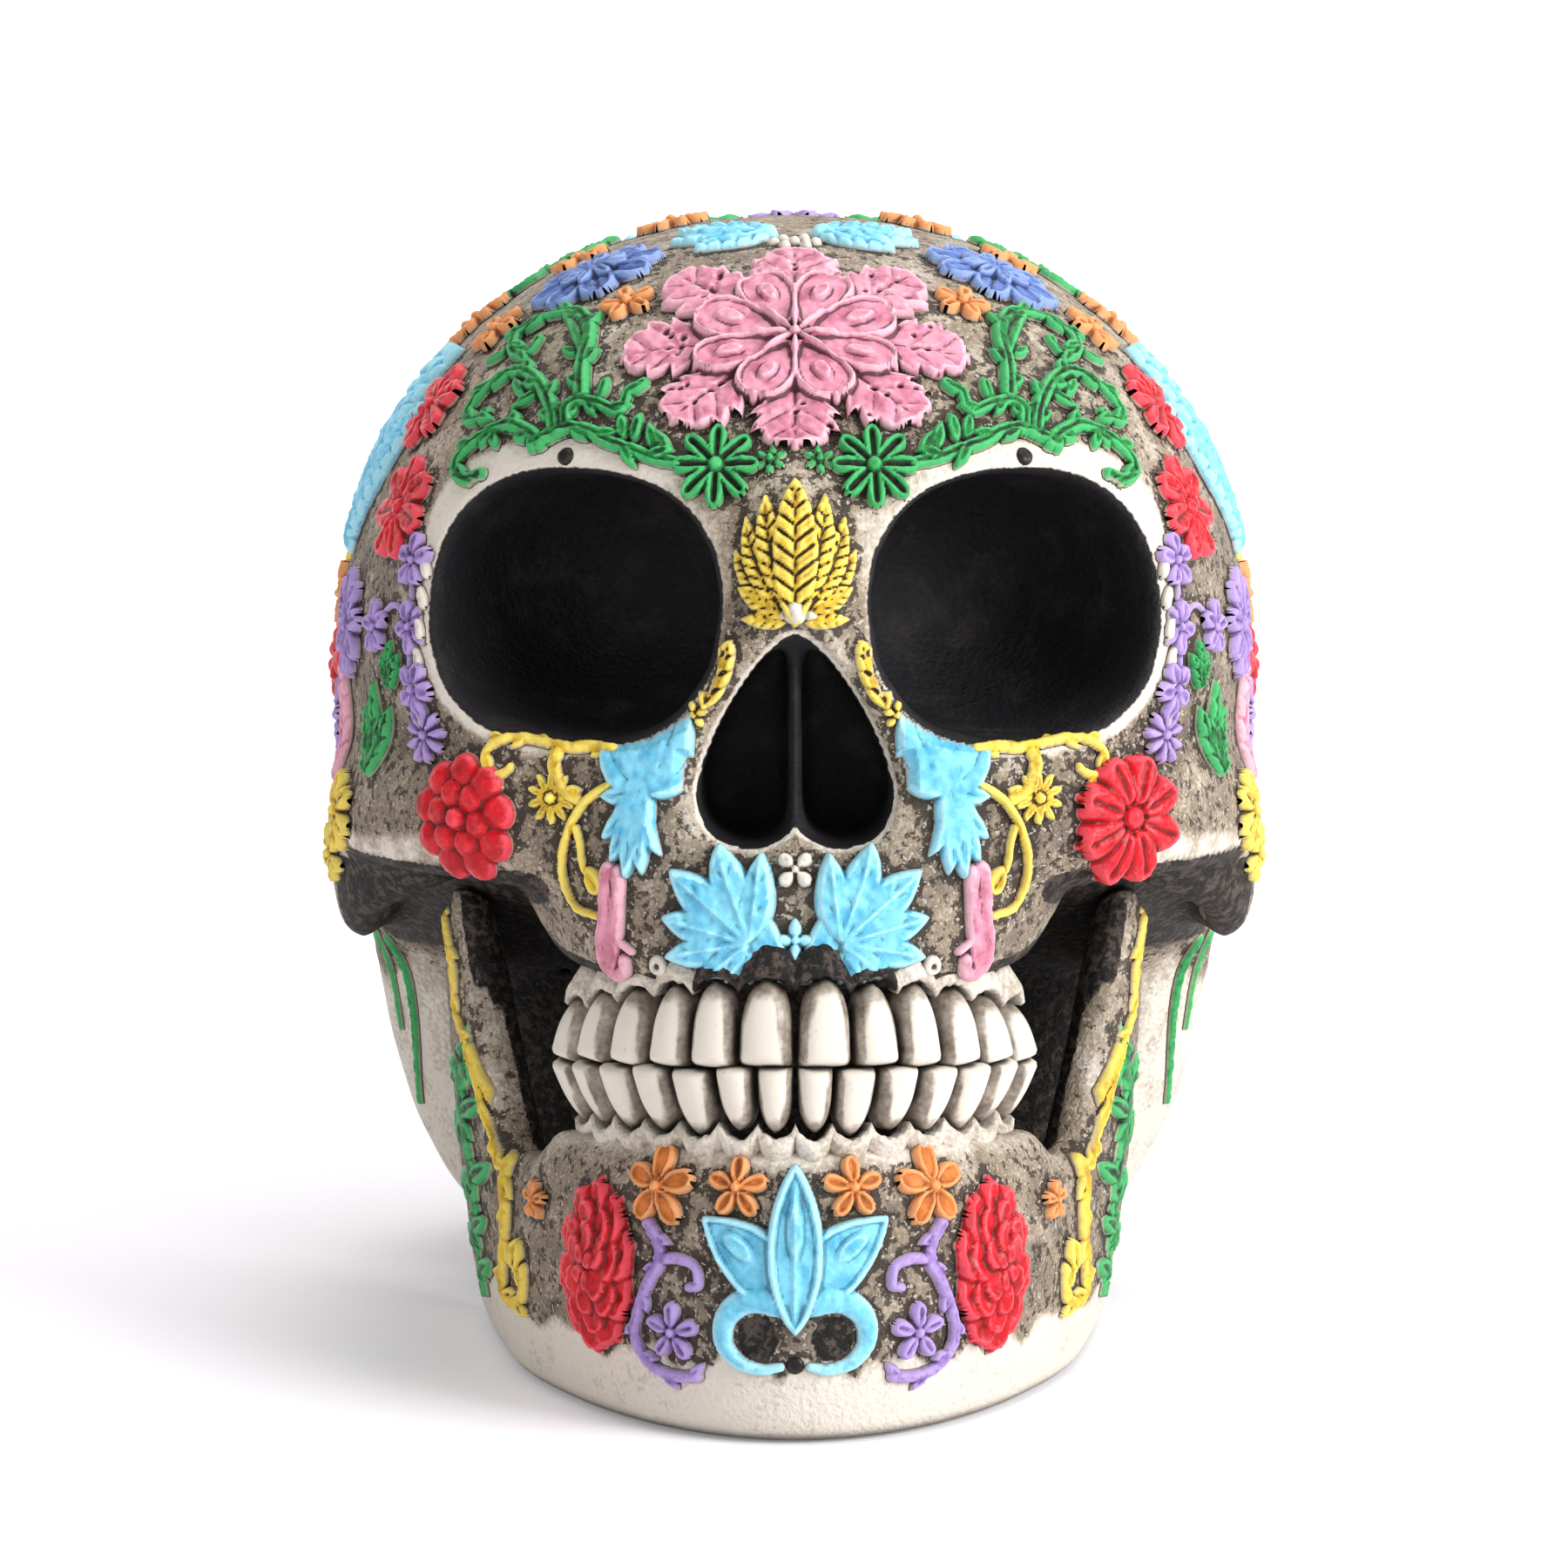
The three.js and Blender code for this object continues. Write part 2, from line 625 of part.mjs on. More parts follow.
// Places of the pairs are given for the right side, and the left one is its mirror image.
const pairedMotifs = [
  {
    name: "crown_leaf",
    colour: skyBlue,
    place: ["top", 8, domeMiddle - 36],
    strokes: fan(-5, 0, -30, 30, 3, 14, 6.5, 1.6),
  },
  {
    name: "crown_flower",
    colour: royalBlue,
    place: ["top", 28, domeMiddle - 42],
    strokes: [rosette(0, 0, 8, 9.5, 1.8)],
  },
  {
    name: "side_wing",
    colour: skyBlue,
    place: ["side", domeMiddle - 27, wingHeight],
    unit: domeUnit,
    strokes: fan(0, -14, 45, 135, 4, 31, 12, 2),
  },
  {
    name: "brow_scroll",
    colour: green,
    place: ["front", orbitSpread / 2 + 2.5, browHeight + 9.25 * foreheadUnit],
    unit: foreheadUnit,
    strokes: [
      stroke([[-17, -5], [-8, -8], [2, -6], [12, -9], [19, -6]], 3, 1.5, "vine", 5),
      stroke(curl(-3, 5, -75, 210, 13, 3), 2.6, 1.5, "vine", 5),
      stroke(curl(10, 1, -100, 150, 9.5, 2.5), 2.4, 1.5, "vine", 5),
      ...fan(-9, -8, 50, 110, 2, 10, 3, 1.4),
    ],
  },
  {
    name: "brow_flower",
    colour: green,
    place: ["front", orbitSpread / 2 - 20, browHeight + 1.25],
    strokes: [rosette(0, 0, 8, 5.6, 1.6)],
  },
  {
    name: "temple_flower_upper",
    colour: red,
    place: ["side", orbitFront + 35, wingHeight + 7.2 * domeUnit],
    unit: domeUnit,
    strokes: [rosette(0, 0, 6, 5.6, 1.7)],
  },
  {
    name: "temple_flower_lower",
    colour: red,
    place: ["side", orbitFront + 24, browHeight - 5.75],
    strokes: [rosette(0, 0, 6, 5.8, 1.7)],
  },
  {
    name: "temple_spray",
    colour: lilac,
    place: ["side", orbitFront + 17, orbitHeight - 5.5],
    strokes: [
      stroke([[-1, -9], [-2, 0], [-1, 9]], 2, 1.3, "vine", 4),
      rosette(-1, 8, 5, 4, 1.5),
      rosette(-1, -7, 5, 4, 1.5),
    ],
  },
  {
    name: "arch_flower",
    colour: yellow,
    place: ["side", archDepth - 22, archHeight + 10],
    strokes: [rosette(0, 0, 6, 5.4, 1.6)],
  },
  {
    name: "nose_leaf",
    colour: skyBlue,
    place: ["front", noseWide / 2 + 6.75, noseFloor + 6.5],
    strokes: [...fan(0, -3, 40, 140, 3, 14, 7.5, 2), ...fan(0, 4, 240, 300, 3, 15, 6, 1.9)],
  },
  {
    name: "cheek_scroll",
    colour: yellow,
    place: ["front", noseWide / 2 + 15.75, noseFloor - 0.5],
    strokes: [stroke(curl(-2, 0, 85, -95, 9, 7), 1.8, 1.3, "vine", 6)],
  },
  {
    name: "cheek_rose",
    colour: red,
    place: ["front", cheekHalf + 3.5, cheekHeight - 3],
    strokes: [rosette(0, 0, 7, 8.6, 2.6, 0.74)],
  },
  {
    name: "lip_leaf",
    colour: skyBlue,
    place: ["front", 9, lipHeight + 0.75],
    strokes: [
      ...fan(-6, -5.5, 10, 86, 4, 18, 8, 2.1),
      stroke([[-6.5, -5.5], [3, -4.5], [8, -5.5]], 4.5, 1.8),
    ],
  },
  {
    name: "chin_flower_outer",
    onJaw: true,
    colour: orange,
    place: ["front", 19, chinTall - 7.5],
    strokes: [rosette(0, 0, 5, 5, 1.6)],
  },
  {
    name: "chin_flower_inner",
    onJaw: true,
    colour: orange,
    place: ["front", 8.5, chinTall - 5.5],
    strokes: [rosette(0, 0, 5, 3.7, 1.5)],
  },
  {
    name: "chin_scroll",
    onJaw: true,
    colour: lilac,
    place: ["front", 19, chinTall - 23.5],
    strokes: [
      stroke([[0, 10], [3, 4], [4, -3], [2, -9], [-2, -8]], 2.6, 1.5, "vine", 6),
      rosette(0.8, -4, 5, 4.4, 1.5),
    ],
  },
  {
    name: "jaw_rose",
    onJaw: true,
    colour: red,
    place: ["front", 29.5, chinTall - 19],
    strokes: [rosette(0, 0, 6, 7, 2.2, 0.78, 1.45)],
  },
  {
    name: "jaw_vine",
    onJaw: true,
    colour: green,
    place: ["side", coronoidDepth + 4, notchHeight / 2],
    strokes: [
      stroke([[-2, 17], [1, 8], [-1, -2], [1, -11], [0, -17]], 2.2, 1.4, "vine", 6),
      ...fan(0, 5, 30, 150, 2, 7, 3, 1.3),
      ...fan(0, -5, 30, 150, 2, 7, 3, 1.3),
    ],
  },
];

// A motif's strokes joined in one body, with its back cut to the casting behind the glue line.
function relief(motif, ground, side) {
  const spot = ground.spot(...motif.place, side, motif.unit ?? reliefUnit);
  const bodies = motif.strokes.map((make) => make(ground, spot, side));
  return bodies.reduce((sum, body) => sum.add(body)).subtract(ground.clearance);
}

function meshOf(body) {
  const mesh = body.getMesh();
  const geometry = new THREE.BufferGeometry();
  geometry.setAttribute("position", new THREE.BufferAttribute(mesh.vertProperties, 3));
  geometry.setIndex(new THREE.BufferAttribute(mesh.triVerts, 1));
  geometry.computeVertexNormals();
  return geometry;
}

function piece(name, body, color, roughness) {
  const made = new THREE.Mesh(meshOf(body), new THREE.MeshStandardMaterial({ color, roughness }));
  made.name = name;
  return made;
}

const skull = new THREE.Group();
const cranialClearance = cranialForm(bondGap);
const jawClearance = jawBody(bondGap);
const upperTeeth = toothRow(upperToothWidths, biteHeight + upperCrownTall, biteHeight + biteGap / 2);
const lowerTeeth = toothRow(lowerToothWidths, chinTall - ridgeFall, biteHeight - biteGap / 2);
skull.add(
  piece("cranium", cranium(), 0x8a8073, 0.75),
  piece("mandible", mandible(cranialClearance), 0x8a8073, 0.75),
  piece("upper_tooth_row", upperTeeth.subtract(cranialClearance), 0xcfc8bc, 0.5),
  piece("lower_tooth_row", lowerTeeth.subtract(jawClearance), 0xcfc8bc, 0.5),
);

const grounds = {
  cranium: new Ground(cranialForm(0), cranialClearance),
  jaw: new Ground(jawBody(0), jawClearance),
};
const sides = { right: 1, left: -1 };
function addMotif(name, motif, side) {
  const ground = motif.onJaw ? grounds.jaw : grounds.cranium;
  skull.add(piece(name, relief(motif, ground, side), motif.colour, 0.6));
}
for (const motif of singleMotifs) addMotif(motif.name, motif, sides.right);
for (const motif of pairedMotifs) {
  for (const [word, side] of Object.entries(sides)) addMotif(`${motif.name}_${word}`, motif, side);
}

// The origin is on the floor under the middle of the skull.
const box = new THREE.Box3().setFromObject(skull);
const middle = box.getCenter(at(0, 0, 0));
skull.position.set(-middle.x, -middle.y, -box.min.z);

export default skull;
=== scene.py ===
"""Painted cast-resin sugar skull: relief, paint and studio stage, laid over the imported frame."""
import math

import bpy
import numpy as np
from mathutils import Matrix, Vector
from mathutils import noise
from mathutils.bvhtree import BVHTree
from mathutils.kdtree import KDTree


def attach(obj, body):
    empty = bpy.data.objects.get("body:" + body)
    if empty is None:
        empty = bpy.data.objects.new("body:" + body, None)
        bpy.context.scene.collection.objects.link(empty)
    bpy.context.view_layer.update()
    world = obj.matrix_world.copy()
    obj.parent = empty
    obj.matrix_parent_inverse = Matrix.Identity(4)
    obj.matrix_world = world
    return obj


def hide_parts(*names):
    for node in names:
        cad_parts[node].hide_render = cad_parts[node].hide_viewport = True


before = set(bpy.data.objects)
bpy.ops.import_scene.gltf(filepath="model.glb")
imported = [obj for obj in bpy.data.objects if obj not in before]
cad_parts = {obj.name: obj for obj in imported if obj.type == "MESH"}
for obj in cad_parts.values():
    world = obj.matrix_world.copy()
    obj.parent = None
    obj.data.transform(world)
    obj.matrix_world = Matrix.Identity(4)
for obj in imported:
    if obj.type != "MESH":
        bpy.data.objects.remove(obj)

bl_info = {
    "name": "Sugar Skull",
    "version": (1, 0, 0),
    "blender": (4, 5, 0),
    "location": "View3D > Sidebar > Skull",
    "description": "Builds a painted cast-resin sugar skull and its studio stage",
    "category": "Add Mesh",
}

MM = 0.001
FAR = 400.0  # where the rays that look for a motif's place start, in millimetres
REACH = 16.0  # the rays that lay a motif start this far out from its plane
AROUND = 4.0  # a motif's plane follows the ground within this distance of its middle
FACING = 0.15  # that ground has to face the view by more than this, as a cosine
TURNED = 0.25  # ground that faces out of a motif's plane by less than this carries none of it
DIVE_RINGS = 8  # over so many points a motif dives under ground that turns away
DIVE = 0.3  # how much deeper it lies at each of them
SUNK = -0.9  # a relief's patch ends this far under the casting, in millimetres
CUT = 0.7 * SUNK  # points of a patch that lie deeper than this are left out
STEEP = 1.9  # slope of a relief's wall below the casting's surface
UNEVEN = 0.09  # how far a relief's surface strays from its drawing
EDGE = 0.45  # points within this height of the casting count as a motif's outline
PAIR = {"right": 1, "left": -1}
SINGLE = {"": 1}

# The object's own places, in millimetres in the shared frame
FACE_DEPTH = -14.08  # the model was centred by this much along its depth
ORBIT_MIDDLE = (30.5, -55.0 + FACE_DEPTH, 111.5)
ORBIT_HALF = (22.0, 28.0, 18.25)
ORBIT_INSET = 4.0
ORBIT_POWER = 2.3
ORBIT_YAW = math.radians(24.0)
ORBIT_TILT = math.radians(4.0)
ORBIT_REACH = 20.0  # millimetres for one whole step of the socket's own measure
NOSE_TOP = 110.0
NOSE_FLOOR = 80.5
NOSE_SPINE = 82.7
NOSE_WAIST = 87.58
NOSE_HALF = 13.25
TOOTH_FRONT = -71.5 + FACE_DEPTH
TOOTH_HALF = 34.0
TOOTH_LONG = 46.0
TOOTH_DEEP = 3.3
TOOTH_LEVELS = 17
TOOTH_SIDES = 24
TOOTH_TUCK = {"upper": 0.055, "lower": 0.1}  # how far roots lean in, by their place to the side
ROOT_SAG = {"upper": 2.1, "lower": 0.9}  # how far roots sink towards the back, by the bite's fall
GUM_STEPS = 10  # points of a gum's edge at each tooth
BITE = 51.5
BITE_FALL = 0.13
UPPER_ROOT = 63.4
LOWER_ROOT = 42.4
UPPER_WIDTHS = (7.6, 6.8, 6.6, 7.8, 8.6, 9.4)
LOWER_WIDTHS = (5.2, 5.8, 6.4, 6.8, 7.2, 7.6, 7.8)
JAW_HALF = 48.0
JAW_BACK = 19.0 + FACE_DEPTH
JAW_LONG = 95.0

# The stage, in metres
FLOOR_NEAR = -5.0
FLOOR_FAR = 0.9
FLOOR_BEND = 0.6
FLOOR_HALF = 5.0
WALL_TOP = 3.0
CAMERA_ASIDE = -0.0015
CAMERA_LENS = 125.3  # millimetres, over a sensor 36 mm wide

# How the petals of the plain flowers are cut
GROOVED = dict(back=0.55, front=0.4, rib=0.95, edge=0.5)
BROAD = dict(back=0.7, front=0.4, rib=0.5, edge=0.8)
STARRY = dict(back=0.5, front=0.34, rim=0.55, hollow=0.5, edge=0.6)

# What the steps hand on to one another
castings = {}
outlines = []
paints = {}
drawn = {}


def linear(colour):
    """sRGB hex to the linear colour that shaders take."""
    channels = [int(colour[i:i + 2], 16) / 255 for i in (1, 3, 5)]
    return [c / 12.92 if c <= 0.04045 else ((c + 0.055) / 1.055) ** 2.4 for c in channels] + [1.0]


def smooth(share):
    """A share held between 0 and 1, with soft ends."""
    share = np.clip(share, 0.0, 1.0)
    return share * share * (3.0 - 2.0 * share)


def above(value, limit, soft):
    """From 0 to 1 as a value rises past a limit, over a soft width."""
    return smooth((value - limit) / soft)


def below(value, limit, soft):
    """From 0 to 1 as a value falls past a limit, over a soft width."""
    return smooth((limit - value) / soft)


def lengths(line):
    """How far along a line each of its points lies."""
    return np.concatenate([[0], np.cumsum(np.linalg.norm(np.diff(line, axis=0), axis=1))])


def spokes(count, turn):
    """The directions of so many even spokes, clockwise from up."""
    angles = [math.radians(turn + 360 * k / count) for k in range(count)]
    return [(math.sin(angle), math.cos(angle)) for angle in angles]


def woven(rows, count, first=0, closed=False, turned=False):
    """Quads between neighbouring rows of points; turned ones face the other way."""
    quads = []
    for row in range(rows - 1):
        for k in range(count if closed else count - 1):
            a = first + row * count + k
            b = first + row * count + (k + 1) % count
            quads.append((a, b, b + count, a + count))
    return [quad[::-1] for quad in quads] if turned else quads


def placed(name, data):
    """A new object for a mesh, a light or a camera, linked into the scene."""
    made = bpy.data.objects.new(name, data)
    bpy.context.collection.objects.link(made)
    return made


class Casting:
    """A CAD casting rebuilt as an even, softened skin that relief can be laid on."""

    def __init__(self, node_name, voxel, passes):
        carrier = placed(node_name + "_even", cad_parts[node_name].data.copy())
        even = carrier.modifiers.new("even", "REMESH")
        even.mode = "VOXEL"
        even.voxel_size = voxel * MM
        shaped = carrier.evaluated_get(bpy.context.evaluated_depsgraph_get())
        mesh = bpy.data.meshes.new_from_object(shaped)
        bpy.data.objects.remove(carrier)
        self.points = np.empty(len(mesh.vertices) * 3)
        mesh.vertices.foreach_get("co", self.points)
        self.points = self.points.reshape(-1, 3) / MM
        self.edges = np.empty(len(mesh.edges) * 2, int)
        mesh.edges.foreach_get("vertices", self.edges)
        self.edges = self.edges.reshape(-1, 2)
        self.faces = [tuple(face.vertices) for face in mesh.polygons]
        bpy.data.meshes.remove(mesh)
        self.degree = np.bincount(self.edges.ravel(), minlength=len(self.points))[:, None]
        for _ in range(passes):
            self.points += 0.5 * (self.averaged(self.points) - self.points)
        self.tree = BVHTree.FromPolygons(self.points.tolist(), self.faces)

    def averaged(self, values):
        """Each point's neighbours' mean, over the skin's edges."""
        total = np.empty_like(values)
        for k in range(values.shape[1]):
            column = values[:, k]
            total[:, k] = np.bincount(self.edges[:, 0], column[self.edges[:, 1]], len(column))
            total[:, k] += np.bincount(self.edges[:, 1], column[self.edges[:, 0]], len(column))
        return total / self.degree

    def normals(self):
        """Each point's outward direction."""
        corners = np.array([face[:3] for face in self.faces])
        a, b, c = (self.points[corners[:, k]] for k in range(3))
        face = np.cross(b - a, c - a)
        total = np.zeros_like(self.points)
        for corner in range(3):
            for k in range(3):
                total[:, k] += np.bincount(corners[:, corner], face[:, k], len(total))
        return total / (np.linalg.norm(total, axis=1, keepdims=True) + 1e-9)

    def spot(self, view, across, up):
        """Middle, outward, right and up of a motif's own plane, found by a ray from a view."""
        starts = {
            "front": ((across, -FAR, up), (0, 1, 0)),
            "side": ((FAR, across, up), (-1, 0, 0)),
            "top": ((across, up, FAR), (0, 0, -1)),
            "back": ((across, FAR, up), (0, -1, 0)),
        }
        origin, along = (Vector(v) for v in starts[view])
        middle = self.tree.ray_cast(origin, along)[0]
        if middle is None:
            raise RuntimeError(f"nothing to lay a motif on at {view} {across} {up}")
        out = Vector((0, 0, 0))
        for _, normal, _, gap in self.tree.find_nearest_range(middle, AROUND):
            if normal.dot(along) < -FACING:
                out += normal * (AROUND + 0.5 - gap)
        out.normalize()
        right = Vector((0, 1, 0) if view == "top" else (0, 0, 1)).cross(out).normalized()
        return middle, out, right, out.cross(right)


class Relief:
    """A raised motif drawn as a height field in its own plane, in millimetres."""

    step = 0.28

    def __init__(self, wide, tall):
        across = np.arange(-wide, wide + self.step, self.step)
        up = np.arange(-tall, tall + self.step, self.step)
        self.u, self.v = np.meshgrid(across, up)
        self.height = np.full(self.u.shape, SUNK)

    def add(self, inside, tall, edge=0.7, detail=0.0):
        """Joins a form to the field; inside is the distance in from its outline."""
        share = np.clip(inside / edge, 0.0, 1.0)
        form = np.where(inside > 0, (tall + detail) * (1 - (1 - share) ** 2), inside * STEEP)
        self.height = np.maximum(self.height, form)

    def ball(self, u, v, radius, tall):
        """A round dome."""
        gap = np.hypot(self.u - u, self.v - v)
        dome = tall * np.sqrt(np.clip(1 - (gap / radius) ** 2, 0, 1))
        self.height = np.maximum(self.height, np.where(gap < radius, dome, (radius - gap) * STEEP))

    def cluster(self, count, ring, radius, tall, turn=0.0):
        """A ring of balls."""
        for du, dv in spokes(count, turn):
            self.ball(ring * du, ring * dv, radius, tall)

    def pit(self, u, v, radius, deep):
        """A round hollow pressed into what is drawn already."""
        gap = np.hypot(self.u - u, self.v - v)
        self.height -= deep * (1 - smooth(gap / radius)) * (self.height > 0)

    def leaf(self, base, tip, wide, tall, back=0.7, front=0.9, bend=0.0, teeth=0, bite=0.0, rib=0.0,
             veins=0, vein=0.0, slant=1.0, rim=0.0, hollow=0.0, seed=0.0, edge=0.7, dip=0.0, tilt=0.0):
        """A leaf or petal from base to tip, with its serrations, ribs, veins and hollow."""
        long = math.hypot(tip[0] - base[0], tip[1] - base[1])
        eu, ev = (tip[0] - base[0]) / long, (tip[1] - base[1]) / long
        s = ((self.u - base[0]) * eu + (self.v - base[1]) * ev) / long
        t = (self.v - base[1]) * eu - (self.u - base[0]) * ev - bend * long * 4 * s * (1 - s)
        c = np.clip(s, 1e-3, 1 - 1e-3)
        peak = back / (back + front)
        half = wide / 2 * (c / peak) ** back * ((1 - c) / (1 - peak)) ** front
        if teeth:
            half = half * (1 - bite * (1 - (teeth * c) % 1.0))
        inside = half - np.hypot(t, (s - c) * long)
        detail = tilt * t / wide - tall * dip * (1 - c)
        if rib:
            detail = detail - rib * np.exp(-(t / 0.4) ** 2) * smooth((1 - c) * 5)
        if veins:
            wave = np.cos(2 * np.pi * (veins * c - slant * np.abs(t) / long * veins))
            detail = detail - vein * np.clip(wave, 0, 1) ** 2 * smooth(np.abs(t) / 0.5)
        if hollow:
            detail = detail - hollow * smooth((inside - rim) / 0.5)
            if seed:
                drop = np.hypot(t / (0.16 * wide), (c - 0.62) / 0.2)
                detail = detail + seed * hollow * (1 - smooth((drop - 0.55) / 0.45))
        self.add(inside, tall, edge, detail)

    def petals(self, count, inner, outer, wide, tall, turn=0.0, u=0.0, v=0.0, **look):
        """A ring of petals about a middle."""
        for du, dv in spokes(count, turn):
            base = (u + inner * du, v + inner * dv)
            tip = (u + outer * du, v + outer * dv)
            self.leaf(base, tip, wide, tall, **look)

    def stroke(self, points, wide, tall, end=0.5, groove=0.0, leafy=0.0):
        """A half-round scroll along a smooth line; end is its last width as a share of its first.

        Leafy is the spacing of the small leaves that curl off it to either side.
        """
        line = spline(points)
        walked = lengths(line)
        share = walked / walked[-1]
        best = np.full(self.u.shape, 1e6)
        half = np.full(self.u.shape, wide / 2)
        for a, b, sa, sb in zip(line[:-1], line[1:], share[:-1], share[1:]):
            d = b - a
            k = np.clip(((self.u - a[0]) * d[0] + (self.v - a[1]) * d[1]) / max(d @ d, 1e-9), 0, 1)
            gap = np.hypot(self.u - a[0] - k * d[0], self.v - a[1] - k * d[1])
            closer = gap < best
            best = np.where(closer, gap, best)
            here = sa + k * (sb - sa)
            width = wide / 2 * (1 + (end - 1) * here)
            half = np.where(closer, width, half)
        crown = np.sqrt(np.clip(1 - (best / half) ** 2, 0, 1))
        form = tall * (0.35 + 0.65 * half / (wide / 2)) * crown - groove * np.exp(-(best / 0.3) ** 2)
        self.height = np.maximum(self.height, np.where(best < half, form, (half - best) * STEEP))
        if leafy:
            for k, far in enumerate(np.arange(0.5 * leafy, walked[-1], leafy)):
                i = np.searchsorted(walked, far)
                ahead = (line[i] - line[i - 1]) / np.linalg.norm(line[i] - line[i - 1])
                aside = np.array([-ahead[1], ahead[0]]) * (1 if k % 2 else -1)
                tip = line[i] + (0.9 * ahead + 0.85 * aside) * wide
                base = line[i] - 0.4 * ahead
                self.leaf(base, tip, 0.8 * wide, 0.85 * tall, back=0.45, rib=0.35, edge=0.5)

    def crease(self):
        """How far each place lies under or over its surroundings."""
        return self.height - blurred(self.height, 4)

    def handled(self, deep):
        """Its heights with the slight unevenness of a hand-cut mould."""
        rough = blurred(np.random.default_rng(self.height.size).standard_normal(self.height.shape), 4)
        return self.height + deep * rough / rough.std() * smooth(self.height / 0.6)


def blurred(field, passes):
    """A field of heights, evened out over its near neighbours."""
    for _ in range(passes):
        pad = np.pad(field, 1, mode="edge")
        field = (pad[:-2, 1:-1] + pad[2:, 1:-1] + pad[1:-1, :-2] + pad[1:-1, 2:] + pad[1:-1, 1:-1]) / 5
    return field


def daisy(reach, count, share, tall, heart=0.22, **look):
    """A plain flower head: equal petals about a round heart."""
    made = Relief(reach + 1.2, reach + 1.2)
    made.petals(count, 0.1 * reach, reach, share * reach, tall, **look)
    made.ball(0, 0, heart * reach, 1.25 * tall)
    return made


def spline(points, steps=8):
    """A smooth line through points, as an array."""
    p = np.array(points, float)
    p = np.vstack([2 * p[0] - p[1], p, 2 * p[-1] - p[-2]])
    k = np.linspace(0, 1, steps, endpoint=False)[:, None]
    spans = []
    for a, b, c, d in zip(p[:-3], p[1:-2], p[2:-1], p[3:]):
        spans.append(0.5 * (2 * b + (c - a) * k + (2 * a - 5 * b + 4 * c - d) * k ** 2
                            + (3 * b - a - 3 * c + d) * k ** 3))
    return np.vstack(spans + [p[-2:-1]])


def new_piece(name, points, faces, material, attributes=None, replaces=()):
    """A mesh object on the skull, its points given in millimetres."""
    mesh = bpy.data.meshes.new(name)
    mesh.from_pydata((np.asarray(points) * MM).tolist(), [], faces)
    mesh.shade_smooth()
    for key, values in (attributes or {}).items():
        layer = mesh.attributes.new(key, "FLOAT", "POINT")
        layer.data.foreach_set("value", np.asarray(values, np.float32))
    mesh.materials.append(material)
    piece = placed(name, mesh)
    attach(piece, "root")
    if replaces:
        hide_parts(*replaces)
    return piece


def laid(relief, casting, place, turn, size):
    """The relief's points and faces on the casting, with the attributes that its paint uses."""
    middle, out, right, rise = casting.spot(*place)
    angle = math.radians(turn)
    right, rise = (right * math.cos(angle) + rise * math.sin(angle),
                   rise * math.cos(angle) - right * math.sin(angle))
    index = np.full(relief.height.shape, -1)
    lost = np.zeros(relief.height.shape)
    ground, lifts = [], []
    for i, k in zip(*np.nonzero(relief.height > CUT)):
        origin = middle + right * (size * relief.u[i, k]) + rise * (size * relief.v[i, k]) + out * REACH
        hit, normal, _, _ = casting.tree.ray_cast(origin, -out, 2 * REACH)
        if hit is None or normal.dot(out) < TURNED:
            lost[i, k] = 1
            continue
        index[i, k] = len(ground)
        ground.append(tuple(hit))
        lifts.append(tuple((out + 2 * normal).normalized()))
    # Where the casting turns away, the motif dives under it as it does at its own outline
    height = relief.handled(UNEVEN)
    rows, columns = lost.shape
    for ring in range(DIVE_RINGS):
        pad = np.pad(lost, 1)
        lost = np.max([pad[a:a + rows, b:b + columns] for a in range(3) for b in range(3)], axis=0)
        height = np.where(lost > 0, np.minimum(height, SUNK + DIVE * ring), height)
    quads = np.stack([index[:-1, :-1], index[:-1, 1:], index[1:, 1:], index[1:, :-1]], -1).reshape(-1, 4)
    quads = quads[(quads >= 0).all(1)]
    kept = index >= 0
    points = np.array(ground) + height[kept][:, None] * np.array(lifts)
    return points, quads, {"rise": height[kept], "crease": relief.crease()[kept]}


def motif(name, colour, relief, place, sides=None, turn=0.0, size=1.0, casting="cranium"):
    """Lays one drawn motif on a casting, and unless told otherwise its mirror image too.

    On the middle line it is laid once. A motif that has the name of a CAD node stands for it.
    """
    if sides is None:
        sides = SINGLE if place[0] != "side" and place[1] == 0 else PAIR
    drawn[name] = relief
    points, quads, attributes = laid(relief, castings[casting], place, turn, size)
    edge = points[np.abs(attributes["rise"]) < EDGE]
    for word, side in sides.items():
        tail = f"_{word}" if word else ""
        faces = quads if side > 0 else quads[:, ::-1]
        outlines.append(edge * [side, 1, 1])
        stands_for = (name + tail,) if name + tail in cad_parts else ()
        new_piece(f"{name}_relief{tail}", points * [side, 1, 1], faces.tolist(), paints[colour],
                  attributes, stands_for)


def fill(tree, made, inputs):
    """Sets a shader node's inputs, or links them to what other nodes give."""
    for key, value in inputs.items():
        if isinstance(value, bpy.types.NodeSocket):
            tree.links.new(value, made.inputs[key])
        else:
            made.inputs[key].default_value = value


def node(tree, kind, inputs=None, **settings):
    """Adds a shader node, sets its properties and fills its inputs."""
    made = tree.nodes.new(kind)
    for key, value in settings.items():
        setattr(made, key, value)
    fill(tree, made, inputs or {})
    return made


def blank(name):
    """A new material with its shader, ready for its nodes."""
    material = bpy.data.materials.new(name)
    material.use_nodes = True
    tree = material.node_tree
    return material, tree, tree.nodes["Principled BSDF"]


def mixed(tree, share, first, second):
    """One colour laid over another by a share."""
    made = node(tree, "ShaderNodeMix", {0: share, 6: first, 7: second}, data_type="RGBA")
    return made.outputs[2]


